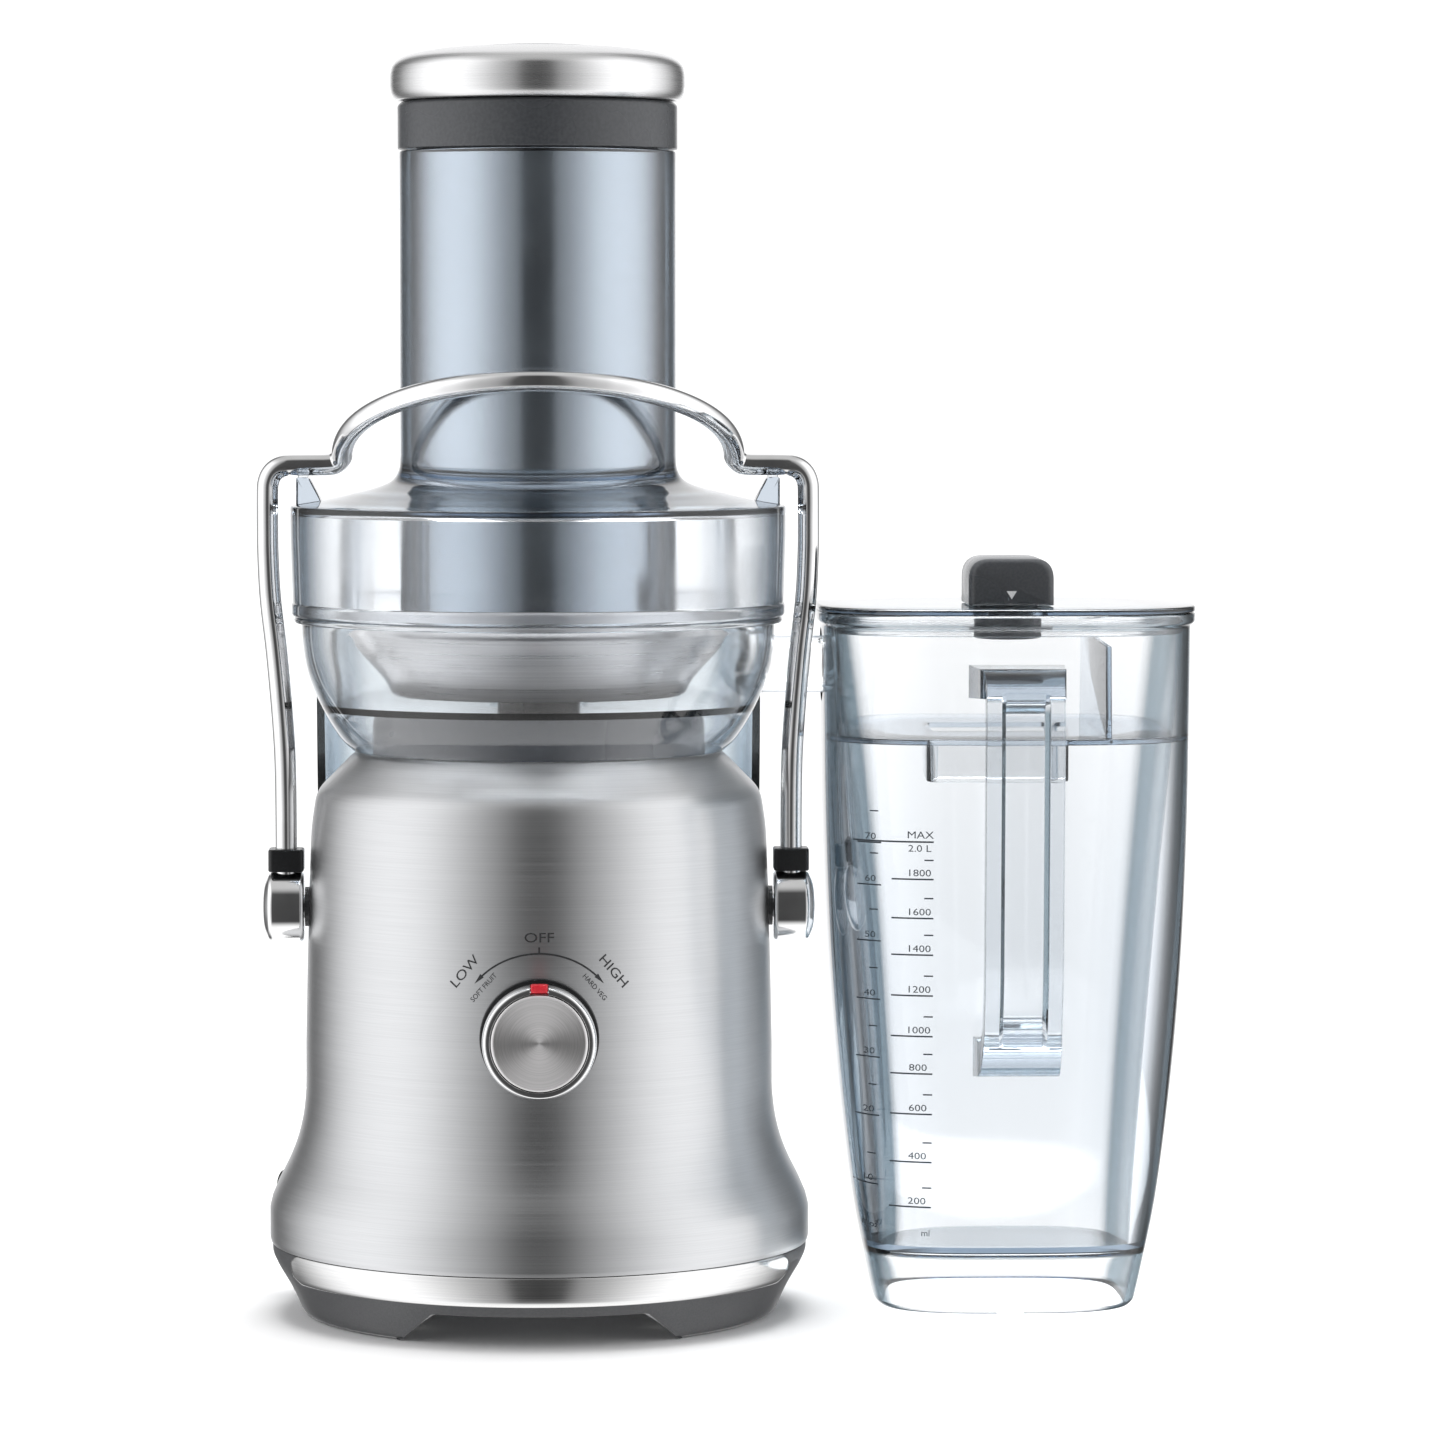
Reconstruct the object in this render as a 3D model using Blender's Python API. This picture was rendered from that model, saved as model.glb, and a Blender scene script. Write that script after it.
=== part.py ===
"""Centrifugal juicer with its juice jug and pulp container, as an assembly of separate pieces.

Run it with  blender --background --python part.py  or from Blender's text editor.
Sizes are in millimetres and become metres in the helpers. Heights are above the worktop. Radii and
sideways places are about the juicer's own upright axis, or the jug's for the pieces of the jug.
The front of the juicer looks along -Y, and the jug stands on its +X side.
"""

import math

import bmesh
import bpy
from mathutils import Matrix, Vector

MM = 0.001

# Clearances
GAP = 0.3  # two fixed pieces that touch
RUN = 0.6  # pieces that move past each other
DEEP = 5.0  # how far a cutting shape runs past the wall it cuts

# Sides of the round pieces
WIDE_SIDES = 24
MIDDLE_SIDES = 16
SMALL_SIDES = 10

# Motor housing and base
SHELL_WALL = 1.5
BODY_RADIUS = 82.3  # the straight part of the housing, at its foot
DECK_RADIUS = 64.5  # the flat top that carries the bowl
SKIRT_BOTTOM = 25.6
SKIRT_TOP = 40.0
FLARE_TOP = 80.0
DECK_HEIGHT = 198.5
SHOULDER_DROP = 16.0  # from the deck down to the foot of the shoulder
BAND_ANGLE = 67.0  # half angle of the polished front band
BAND_HEIGHT = 7.6
BAND_WALL = 1.2
PAN_FLOOR = 11.0
PAN_FLOOR_WALL = 2.5
PAN_RIM_BOTTOM = 2.0
PAN_RIM_INNER = 68.0
SPIGOT_RISE = 2.4  # how far the pan reaches up inside the housing
ARCH_HALF_TOP = 37.0  # the opening under the base, front and rear
ARCH_HALF_BOTTOM = 48.0
FOOT_RADIUS = 6.0
FOOT_HEIGHT = 3.6
FOOT_PLACE = 75.5
SCREW_RADIUS = 1.5
SCREW_HEAD = 3.5
SCREW_PLACE = 60.0

# Motor
SHAFT_RADIUS = 4.0
STATOR_RADIUS = 46.0
STATOR_LOW = 80.0
STATOR_HIGH = 130.0
BORE_RADIUS = 27.0
ARMATURE_RADIUS = 25.6
COIL_INNER = 30.0
COIL_OUTER = 41.4
COIL_OVERHANG = 9.0
BEARING_RADIUS = 11.0
BEARING_WIDTH = 7.0
FAN_RADIUS = 34.0
FAN_LOW = 41.0
FAN_HIGH = 53.0
CRADLE_TOP = 59.4

# Coupling, bowl and basket
TOWER_RADIUS = 45.0
TOWER_RISE = 15.0  # above the deck
TOWER_BORE = 14.0
COUPLING_RADIUS = 8.6
BOWL_RADIUS = 83.4
BOWL_WALL = 2.4
BOWL_HEIGHT = 51.4
BOWL_HOLE = 17.2
BASKET_WALL = 1.2
HUB_RADIUS = 14.5
SPOUT_RADIUS = 10.2
SPOUT_WALL = 2.0
SPOUT_BACK = 22.0  # how far behind the axis the spout lies

# Cover and feed chute
COVER_WALL = 2.4
COVER_SKIRT = 37.0  # height of the upright wall
CHUTE_RADIUS = 48.5
CHUTE_WALL = 2.3
CHUTE_HEIGHT = 125.8  # above the cover's upright wall
EAR_HALF = 8.6

# Food pusher
PUSHER_WALL = 2.0
PUSHER_SLACK = 1.3
COLLAR_HEIGHT = 16.6
CAP_HEIGHT = 20.0
CAP_CENTRE_RADIUS = 27.0

# Locking arm
PIVOT_HEIGHT = 143.3
PIN_RADIUS = 4.0
PIN_CAM_RADIUS = 8.0
PIN_CAM_OFFSET = 1.0
TUBE_RADIUS = 3.8
ARM_HUB_RADIUS = 12.3
ARM_HUB_HALF = 6.2
ARM_DOME = 2.5
SLEEVE_HEIGHT = 8.0
ARM_RISE = 26.5

# Dial
DIAL_HEIGHT = 105.7
DIAL_RADIUS = 19.5
DIAL_FACE_RADIUS = 16.5
DIAL_SHAFT = 3.0
ESCUTCHEON_RADIUS = 20.4

# Cord gland
GLAND_HEIGHT = 38.5
GLAND_ANGLE = 65.0  # from straight behind, towards the left
GLAND_RADIUS = 7.0
GLAND_BORE = 3.6

# Pulp container
PULP_HALF = 81.0
PULP_WALL = 2.2
PULP_TAPER = 2.0

# Juice jug
JUG_HALF = 65.4
JUG_DEPTH_SHARE = 0.9
JUG_RIM_LIP = 1.6
JUG_FLOOR = 22.0
JUG_WALL = 2.2
JUG_CORNER = 3.2  # exponent of the rounded-square section
JUG_SIDES = 24
JUG_OUTLINE = (  # share of the height, share of the widest half width
    (0.0, 0.706),
    (0.012, 0.733),
    (0.166, 0.833),
    (0.336, 0.908),
    (0.506, 0.961),
    (0.684, 0.985),
    (0.984, 1.0),
)
JUG_INLET = 13.0  # radius of the hole that takes the spout
HANDLE_HALF = 13.5
HANDLE_REACH = 102.0
HANDLE_THICK = 10.0
HANDLE_BOTTOM = 88.0
LID_WALL = 2.2
LID_SKIRT = 7.5
CLOSURE_HALF_WIDTH = 15.0
CLOSURE_HALF_DEPTH = 20.0
CLOSURE_HEIGHT = 16.6
CLOSURE_PLUG = 12.0
CLOSURE_FORWARD = 16.0  # in front of the jug's middle
SEPARATOR_WALL = 2.0
DIVIDER_SIDE = 32.0
DUCT_LEFT = 29.0
DUCT_RIGHT = 22.0
DUCT_HALF_DEPTH = 20.0
DUCT_DROP = 16.0

# Sideways sizes that follow from the sizes above, so that what fits together still does
COVER_RADIUS = BOWL_RADIUS + 3.8
BASKET_RADIUS = BOWL_RADIUS - 12.9
BASKET_FLOOR_RADIUS = CHUTE_RADIUS + 3.0
DISC_RADIUS = BASKET_FLOOR_RADIUS - 5.5
BOWL_FOOT_RADIUS = DECK_RADIUS + 0.9
COLLAR_RADIUS = CHUTE_RADIUS + 0.6
CAP_RADIUS = CHUTE_RADIUS + 3.2
EAR_INNER_LOW = COVER_RADIUS - 11.2
EAR_INNER_HIGH = COVER_RADIUS - 6.7
EAR_OUTER = COVER_RADIUS - 2.4
SHOULDER_RADIUS = BODY_RADIUS - 2.9  # just under the sloping shoulder
SKIRT_RADIUS = BODY_RADIUS + 13.0  # the flared foot of the housing
HUB_MIDDLE = BODY_RADIUS + 6.8  # sideways place of the hub's middle
ARM_WIDEST = COVER_RADIUS + 8.0  # tube centre at the shoulder
ARM_SHOULDER_INNER = COVER_RADIUS - 16.2
ARM_FRONT = CHUTE_RADIUS + 9.5  # how far the grip bows in front of the axis
OVERHANG_FRONT = CHUTE_RADIUS + 3.5
PULP_FRONT_RADIUS = SKIRT_RADIUS + 3.2
PULP_MIDDLE = SKIRT_RADIUS + 4.7
PULP_REAR = PULP_MIDDLE + 78.0
OVERHANG_REAR = PULP_REAR - 7.0
OVERHANG_HALF = PULP_HALF - 7.0
JUG_SIDE = max(ARM_WIDEST + TUBE_RADIUS, HUB_MIDDLE + ARM_HUB_HALF + ARM_DOME) + JUG_HALF + JUG_RIM_LIP
SPOUT_END = JUG_SIDE - JUG_HALF + 4.4
PIN_INNER = BODY_RADIUS - 11.3  # where the pivot pins' shanks start, inside the housing
DIAL_BACK = BODY_RADIUS + 1.7
DIAL_FRONT = DIAL_BACK + 14.0

# Heights and places that follow from the sizes above
BOWL_FOOT = DECK_HEIGHT + GAP
TOWER_TOP = DECK_HEIGHT + TOWER_RISE
BOWL_FLOOR = TOWER_TOP + 2 * GAP
BOWL_FLOOR_TOP = BOWL_FLOOR + BOWL_WALL
BOWL_RIM = BOWL_FOOT + BOWL_HEIGHT
FLANGE_TOP = BOWL_RIM - 4.4
COVER_BOTTOM = FLANGE_TOP + GAP
COVER_TOP = COVER_BOTTOM + COVER_SKIRT
CHUTE_TOP = COVER_TOP + CHUTE_HEIGHT
CHUTE_INNER = CHUTE_RADIUS - CHUTE_WALL
BASKET_FLOOR = BOWL_FLOOR_TOP + 2.5
BASKET_RIM = BOWL_RIM - RUN
DISC_UNDERSIDE = BASKET_FLOOR + BASKET_WALL + 1.2
CHUTE_BOTTOM = DISC_UNDERSIDE + 6.5
PUSHER_BOTTOM = CHUTE_BOTTOM + 3.0
PUSHER_RADIUS = CHUTE_INNER - PUSHER_SLACK
COLLAR_BOTTOM = CHUTE_TOP + 2 * GAP
CAP_BOTTOM = COLLAR_BOTTOM + COLLAR_HEIGHT + GAP
SPOUT_HEIGHT = BOWL_FLOOR_TOP + SPOUT_RADIUS + 0.9
DECK_OPENING = TOWER_RADIUS + 1.0
JUG_HEIGHT = SPOUT_HEIGHT + 19.4
HANDLE_TOP = JUG_HEIGHT - 16.0
SEPARATOR_HEIGHT = JUG_HEIGHT - 45.0
ARM_SHOULDER = COVER_TOP + 16.2
EAR_TOP = ARM_SHOULDER - TUBE_RADIUS - RUN
EAR_STOP = ARM_SHOULDER + 1.5
ARM_HUB_INNER = HUB_MIDDLE - ARM_HUB_HALF
BAND_TOP = SKIRT_BOTTOM - GAP
PULP_TOP = COVER_BOTTOM + 2.4
OVERHANG_BOTTOM = PULP_TOP + 2 * RUN
LID_TOP = JUG_HEIGHT + GAP + LID_WALL

# The origin is under the middle of the whole set, juicer, pulp container and jug.
AXIS_X = -(JUG_SIDE + JUG_HALF + JUG_RIM_LIP - ARM_WIDEST - TUBE_RADIUS) / 2
AXIS_Y = -(PULP_REAR - DIAL_FRONT) / 2


# Materials


def material(name, colour, roughness, metallic=0.0, alpha=1.0):
    """A Principled material of one colour, given as linear red, green and blue."""
    made = bpy.data.materials.new(name)
    made.use_nodes = True
    shader = made.node_tree.nodes["Principled BSDF"]
    shader.inputs["Base Color"].default_value = (*colour, 1.0)
    shader.inputs["Roughness"].default_value = roughness
    shader.inputs["Metallic"].default_value = metallic
    shader.inputs["Alpha"].default_value = alpha
    made.diffuse_color = (*colour, alpha)
    return made


# Shapes, each returned as a bmesh in millimetres


def circle(radius, sides, centre=(0.0, 0.0)):
    """Points round a circle, the first of them at +X."""
    turns = [2 * math.pi * i / sides for i in range(sides)]
    return [(centre[0] + radius * math.cos(t), centre[1] + radius * math.sin(t)) for t in turns]


def rounded_square(half_width, half_depth, power, sides):
    """Points round |x / a|^p + |y / b|^p = 1."""
    points = []
    for i in range(sides):
        turn = 2 * math.pi * i / sides
        c, s = math.cos(turn), math.sin(turn)
        reach = (abs(c) ** power + abs(s) ** power) ** (-1 / power)
        points.append((half_width * c * reach, half_depth * s * reach))
    return points


def turned(profile, sides, axis="Z"):
    """Spins (radius, height) points round an axis. A profile that starts and ends on the axis stays
    open there, and any other one is closed into a ring."""
    bm = bmesh.new()
    points = [bm.verts.new((radius, 0.0, height)) for radius, height in profile]
    edges = [bm.edges.new(pair) for pair in zip(points, points[1:])]
    if profile[0][0] > 0 or profile[-1][0] > 0:
        edges.append(bm.edges.new((points[-1], points[0])))
    bmesh.ops.spin(
        bm, geom=points + edges, cent=(0, 0, 0), axis=(0, 0, 1), angle=2 * math.pi, steps=sides
    )
    bmesh.ops.remove_doubles(bm, verts=bm.verts, dist=1e-3)
    lay_along(bm, axis)
    return bm


def lay_along(bm, axis):
    """Turns a shape made round Z so that its heights run along +X, or along -Y to the front."""
    if axis == "X":
        bmesh.ops.rotate(bm, verts=bm.verts, matrix=Matrix.Rotation(math.pi / 2, 3, "Y"))
    if axis == "FRONT":
        bmesh.ops.rotate(bm, verts=bm.verts, matrix=Matrix.Rotation(math.pi / 2, 3, "X"))


def lofted(rings):
    """Joins rings of points, each with as many points as the next, and closes the two ends."""
    bm = bmesh.new()
    loops = [[bm.verts.new(point) for point in ring] for ring in rings]
    count = len(loops[0])
    for low, high in zip(loops, loops[1:]):
        for i in range(count):
            j = (i + 1) % count
            bm.faces.new((low[i], low[j], high[j], high[i]))
    bm.faces.new(loops[0])
    bm.faces.new(loops[-1])
    return bm


def prism(outline, low, high, plane="XY"):
    """An outline extruded from low to high, across the plane that its points are given in."""
    bm = bmesh.new()
    place = {
        "XY": lambda a, b: (a, b, low),
        "XZ": lambda a, b: (a, low, b),
        "YZ": lambda a, b: (low, a, b),
    }[plane]
    way = {"XY": (0, 0, 1), "XZ": (0, 1, 0), "YZ": (1, 0, 0)}[plane]
    face = bm.faces.new([bm.verts.new(place(a, b)) for a, b in outline])
    grown = bmesh.ops.extrude_face_region(bm, geom=[face])
    moved = [item for item in grown["geom"] if isinstance(item, bmesh.types.BMVert)]
    bmesh.ops.translate(bm, verts=moved, vec=Vector(way) * (high - low))
    return bm


def ring_prism(outer, inner, low, high):
    """A prism with a hole: both outlines have the same number of points."""
    rings = [
        [(x, y, height) for x, y in outline]
        for outline, height in ((outer, low), (outer, high), (inner, high), (inner, low))
    ]
    bm = bmesh.new()
    loops = [[bm.verts.new(point) for point in ring] for ring in rings]
    count = len(outer)
    for a, b in zip(loops, loops[1:] + loops[:1]):
        for i in range(count):
            j = (i + 1) % count
            bm.faces.new((a[i], a[j], b[j], b[i]))
    return bm


def block(x, y, z):
    """A box between two places on each axis."""
    return prism([(x[0], y[0]), (x[1], y[0]), (x[1], y[1]), (x[0], y[1])], z[0], z[1])


def sector(inner, outer, low, high, start, end, steps):
    """Part of a ring, between two angles in degrees."""
    turns = [math.radians(start + (end - start) * i / steps) for i in range(steps + 1)]
    outline = [(outer * math.cos(t), outer * math.sin(t)) for t in turns]
    outline += [(inner * math.cos(t), inner * math.sin(t)) for t in reversed(turns)]
    return prism(outline, low, high)


def joined(*shapes):
    """Puts several shapes in one bmesh, still as separate bodies."""
    first = shapes[0]
    for other in shapes[1:]:
        mesh = bpy.data.meshes.new("joined")
        other.to_mesh(mesh)
        other.free()
        first.from_mesh(mesh)
        bpy.data.meshes.remove(mesh)
    return first


def moved(bm, by):
    bmesh.ops.translate(bm, verts=bm.verts, vec=Vector(by))
    return bm


# Objects


def empty(name, place):
    guide = bpy.data.objects.new(name, None)
    guide.location = Vector(place) * MM
    bpy.context.collection.objects.link(guide)
    return guide


def placed(name, bm, look, parent, at=(0, 0, 0), crease=35):
    """Makes a named object whose origin is at a place under its parent."""
    bmesh.ops.recalc_face_normals(bm, faces=bm.faces)
    bmesh.ops.scale(bm, vec=(MM, MM, MM), verts=bm.verts)
    mesh = bpy.data.meshes.new(name)
    bm.to_mesh(mesh)
    bm.free()
    if look:
        mesh.materials.append(look)
    mesh.shade_smooth()
    mesh.set_sharp_from_angle(angle=math.radians(crease))
    made = bpy.data.objects.new(name, mesh)
    made.location = Vector(at) * MM
    made.parent = parent
    bpy.context.collection.objects.link(made)
    return made


def shaped(piece, operation, bm):
    """Cuts a shape out of a piece, or adds it, where the shape is given in the piece's own frame."""
    tool = placed(f"tool_{piece.name}_{len(piece.modifiers)}", bm, None, piece)
    tool.hide_render = True
    tool.display_type = "WIRE"
    modifier = piece.modifiers.new(tool.name, "BOOLEAN")
    modifier.operation = operation
    modifier.solver = "EXACT"
    modifier.object = tool


def cut(piece, bm):
    shaped(piece, "DIFFERENCE", bm)


def add(piece, bm):
    shaped(piece, "UNION", bm)


def corners(radius):
    """The four diagonal places of the feet and screws, with their names."""
    reach = radius * math.sqrt(0.5)
    return (
        ("front_left", (-reach, -reach)),
        ("front_right", (reach, -reach)),
        ("rear_left", (-reach, reach)),
        ("rear_right", (reach, reach)),
    )


# Base


def housing_outline():
    """The housing's outside from the deck down, as (radius, height): a flat deck, a sloping
    shoulder, a body that widens a little, and a concave flare to the upright skirt."""
    points = [
        (DECK_RADIUS, DECK_HEIGHT),
        (DECK_RADIUS + 1.5, DECK_HEIGHT - 1.0),
        (SHOULDER_RADIUS - 2.0, DECK_HEIGHT - SHOULDER_DROP + 4.2),
        (SHOULDER_RADIUS, DECK_HEIGHT - SHOULDER_DROP - 0.5),
        (SHOULDER_RADIUS + 0.8, DECK_HEIGHT - SHOULDER_DROP - 6.5),
        (BODY_RADIUS - 0.7, PIVOT_HEIGHT - 15.0),
        (BODY_RADIUS, FLARE_TOP),
    ]
    rise = FLARE_TOP - SKIRT_TOP
    spread = SKIRT_RADIUS - BODY_RADIUS
    for share in (0.25, 0.5, 0.75):
        out = spread * (0.5 - 0.5 * math.cos(math.pi * share ** 1.25))
        points.append((BODY_RADIUS + out, FLARE_TOP - rise * share))
    points += [(SKIRT_RADIUS, SKIRT_TOP - 1.0), (SKIRT_RADIUS, SKIRT_BOTTOM)]
    return points


def make_motor_housing(frame, look):
    outside = housing_outline()
    deck_under = DECK_HEIGHT - SHELL_WALL
    inside = [(radius - SHELL_WALL, height) for radius, height in outside[2:]]
    inside = [(DECK_RADIUS - 1.0, deck_under)] + [(r, z - 0.4 * (z > FLARE_TOP)) for r, z in inside]
    profile = [(DECK_OPENING, DECK_HEIGHT)] + outside
    profile += list(reversed(inside)) + [(DECK_OPENING, deck_under)]
    housing = placed("motor_housing", turned(profile, WIDE_SIDES), look, frame)
    reach = SKIRT_RADIUS + DEEP
    bush = PIN_RADIUS + 3.0 + GAP
    for side in (-1, 1):
        hole = turned([(0, 60.0), (bush, 60.0), (bush, reach), (0, reach)], MIDDLE_SIDES, "X")
        if side < 0:
            bmesh.ops.rotate(hole, verts=hole.verts, matrix=Matrix.Rotation(math.pi, 3, "Z"))
        cut(housing, moved(hole, (0, 0, PIVOT_HEIGHT)))
    window = ESCUTCHEON_RADIUS + GAP + 0.1
    hole = turned([(0, 60.0), (window, 60.0), (window, reach), (0, reach)], MIDDLE_SIDES, "FRONT")
    cut(housing, moved(hole, (0, 0, DIAL_HEIGHT)))
    low, high = SKIRT_RADIUS - 15.3, SKIRT_RADIUS + 14.7
    cut(housing, gland_shape([(0, low), (GLAND_RADIUS + GAP, low), (GLAND_RADIUS + GAP, high), (0, high)]))


def gland_shape(profile):
    """Turns a profile along the way the cord gland points, out of the skirt at the left rear."""
    bm = turned(profile, SMALL_SIDES, "X")
    bmesh.ops.rotate(bm, verts=bm.verts, matrix=Matrix.Rotation(math.radians(90 + GLAND_ANGLE), 3, "Z"))
    return moved(bm, (0, 0, GLAND_HEIGHT))


def make_cord_gland(frame, look):
    wall = SKIRT_RADIUS
    profile = [
        (GLAND_BORE, wall - 8.0),
        (GLAND_RADIUS + 2.0, wall - 8.0),
        (GLAND_RADIUS + 2.0, wall - 5.0),
        (GLAND_RADIUS, wall - 5.0),
        (GLAND_RADIUS, wall + 2.0),
        (GLAND_RADIUS - 1.8, wall + 7.0),
        (GLAND_BORE, wall + 7.0),
    ]
    placed("cord_gland", gland_shape(profile), look, frame)


def make_base_pan(frame, look):
    edge = SKIRT_RADIUS - 0.9
    spigot = SKIRT_RADIUS - SHELL_WALL - 2 * GAP
    floor_top = PAN_FLOOR + PAN_FLOOR_WALL
    profile = [
        (0, PAN_FLOOR),
        (PAN_RIM_INNER - 2.0, PAN_FLOOR),
        (PAN_RIM_INNER, PAN_RIM_BOTTOM),
        (PAN_RIM_INNER + 14.0, PAN_RIM_BOTTOM),
        (edge - 7.7, PAN_FLOOR - 1.6),
        (edge - 1.9, PAN_FLOOR + 6.8),
        (edge, BAND_TOP - 3.3),
        (edge, BAND_TOP),
        (spigot, BAND_TOP),
        (spigot, SKIRT_BOTTOM + SPIGOT_RISE),
        (spigot - 2.2, SKIRT_BOTTOM + SPIGOT_RISE),
        (spigot - 5.5, floor_top + 2.0),
        (PAN_RIM_INNER + 4.0, floor_top),
        (0, floor_top),
    ]
    pan = placed("base_pan", turned(profile, WIDE_SIDES), look, frame)
    low = -DEEP
    arch = [(-ARCH_HALF_BOTTOM, low), (ARCH_HALF_BOTTOM, low), (ARCH_HALF_BOTTOM, PAN_RIM_BOTTOM)]
    arch += [(ARCH_HALF_TOP, PAN_FLOOR - 0.2), (-ARCH_HALF_TOP, PAN_FLOOR - 0.2)]
    arch += [(-ARCH_HALF_BOTTOM, PAN_RIM_BOTTOM)]
    for front, back in ((-SKIRT_RADIUS - DEEP, -50.0), (50.0, SKIRT_RADIUS + DEEP)):
        cut(pan, prism(arch, front, back, "XZ"))
    recess = sector(
        edge - BAND_WALL - GAP,
        SKIRT_RADIUS + DEEP,
        BAND_TOP - BAND_HEIGHT - GAP,
        BAND_TOP + 0.15,
        -90 - BAND_ANGLE,
        -90 + BAND_ANGLE,
        16,
    )
    cut(pan, recess)
    for _, (x, y) in corners(FOOT_PLACE):
        cut(pan, prism(circle(FOOT_RADIUS + GAP, SMALL_SIDES, (x, y)), -DEEP, FOOT_HEIGHT + GAP))
    for _, (x, y) in corners(SCREW_PLACE):
        cut(pan, prism(circle(SCREW_RADIUS + GAP, SMALL_SIDES, (x, y)), PAN_FLOOR - DEEP, floor_top + DEEP))
    for angle in range(0, 360, 45):
        slot = block((20.0, 44.0), (-2.5, 2.5), (PAN_FLOOR - DEEP, floor_top + DEEP))
        bmesh.ops.rotate(slot, verts=slot.verts, matrix=Matrix.Rotation(math.radians(angle), 3, "Z"))
        cut(pan, slot)


def make_trim_band(frame, look):
    outer = SKIRT_RADIUS - 0.7
    inner = SKIRT_RADIUS - 0.9 - BAND_WALL
    angle = BAND_ANGLE - 0.3
    shape = sector(inner, outer, BAND_TOP - BAND_HEIGHT, BAND_TOP - 0.1, -90 - angle, -90 + angle, 16)
    placed("trim_band", shape, look, frame)


def make_feet_and_screws(frame, rubber, steel):
    for name, (x, y) in corners(FOOT_PLACE):
        foot = prism(circle(FOOT_RADIUS, SMALL_SIDES), 0.0, FOOT_HEIGHT)
        placed(f"rubber_foot_{name}", foot, rubber, frame, (x, y, 0))
    top = PAN_FLOOR + PAN_FLOOR_WALL + 6.5
    profile = [
        (0, PAN_FLOOR - 2.6),
        (SCREW_HEAD, PAN_FLOOR - 2.6),
        (SCREW_HEAD, PAN_FLOOR - GAP),
        (SCREW_RADIUS, PAN_FLOOR - GAP),
        (SCREW_RADIUS, top),
        (0, top),
    ]
    for name, (x, y) in corners(SCREW_PLACE):
        placed(f"base_screw_{name}", turned(profile, SMALL_SIDES), steel, frame, (x, y, 0))


# Motor


def make_motor_cradle(frame, look):
    foot = PAN_FLOOR + PAN_FLOOR_WALL + GAP
    inner, outer = SCREW_PLACE - 3.0, SCREW_PLACE + 3.0
    plate = CRADLE_TOP - 4.0
    profile = [(inner, foot), (outer, foot), (outer, CRADLE_TOP), (37, CRADLE_TOP), (37, plate), (inner, plate)]
    cradle = placed("motor_cradle", turned(profile, MIDDLE_SIDES), look, frame)
    for turn in (0, 90):
        window = block((-80.0, 80.0), (-24.0, 24.0), (foot + 8.0, plate - 6.0))
        bmesh.ops.rotate(window, verts=window.verts, matrix=Matrix.Rotation(math.radians(turn), 3, "Z"))
        cut(cradle, window)
    for _, (x, y) in corners(SCREW_PLACE):
        cut(cradle, prism(circle(SCREW_RADIUS + GAP, SMALL_SIDES, (x, y)), foot - DEEP, foot + 7.5))


def make_stator(frame, iron, copper):
    core = ring_prism(circle(STATOR_RADIUS, MIDDLE_SIDES), circle(BORE_RADIUS, MIDDLE_SIDES), STATOR_LOW, STATOR_HIGH)
    core = placed("stator_core", core, iron, frame)
    for middle in (0, 180):
        window = sector(
            COIL_INNER - GAP,
            COIL_OUTER + GAP,
            STATOR_LOW - DEEP,
            STATOR_HIGH + DEEP,
            middle - 19,
            middle + 19,
            6,
        )
        cut(core, window)
    low, high = STATOR_LOW - COIL_OVERHANG, STATOR_HIGH + COIL_OVERHANG
    for name, middle in (("front", -90), ("rear", 90)):
        coil = sector(COIL_INNER, COIL_OUTER, low, high, middle - 88, middle + 88, 16)
        coil = placed(f"field_coil_{name}", coil, copper, frame)
        eye = sector(
            COIL_INNER - DEEP,
            COIL_OUTER + DEEP,
            STATOR_LOW - GAP,
            STATOR_HIGH + GAP,
            middle - 71.6,
            middle + 71.6,
            14,
        )
        cut(coil, eye)


def make_bearings(frame, cast, steel):
    wall = COIL_OUTER + 1.0
    seat = BEARING_RADIUS + GAP
    boss = BEARING_RADIUS + 3.0
    floor = CRADLE_TOP + GAP
    shelf = floor + 4.0
    lower = [
        (8, floor),
        (STATOR_RADIUS, floor),
        (STATOR_RADIUS, STATOR_LOW - GAP),
        (wall, STATOR_LOW - GAP),
        (wall, shelf),
        (boss, shelf),
        (boss, shelf + BEARING_WIDTH),
        (seat, shelf + BEARING_WIDTH),
        (seat, shelf),
        (8, shelf),
    ]
    placed("lower_bearing_bracket", turned(lower, MIDDLE_SIDES), cast, frame)
    roof = STATOR_HIGH + 32.0
    under = roof - 4.0
    upper = [
        (8, roof),
        (8, under),
        (seat, under),
        (seat, under - BEARING_WIDTH),
        (boss, under - BEARING_WIDTH),
        (boss, under),
        (wall, under),
        (wall, STATOR_HIGH + GAP),
        (STATOR_RADIUS, STATOR_HIGH + GAP),
        (STATOR_RADIUS, roof),
    ]
    placed("upper_bearing_bracket", turned(upper, MIDDLE_SIDES), cast, frame)
    bore = SHAFT_RADIUS + GAP
    for name, low in (("lower", shelf + GAP), ("upper", under - BEARING_WIDTH - GAP)):
        ring = [(bore, low), (BEARING_RADIUS, low), (BEARING_RADIUS, low + BEARING_WIDTH), (bore, low + BEARING_WIDTH)]
        placed(f"{name}_bearing", turned(ring, MIDDLE_SIDES), steel, frame)
    return under - BEARING_WIDTH


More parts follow.
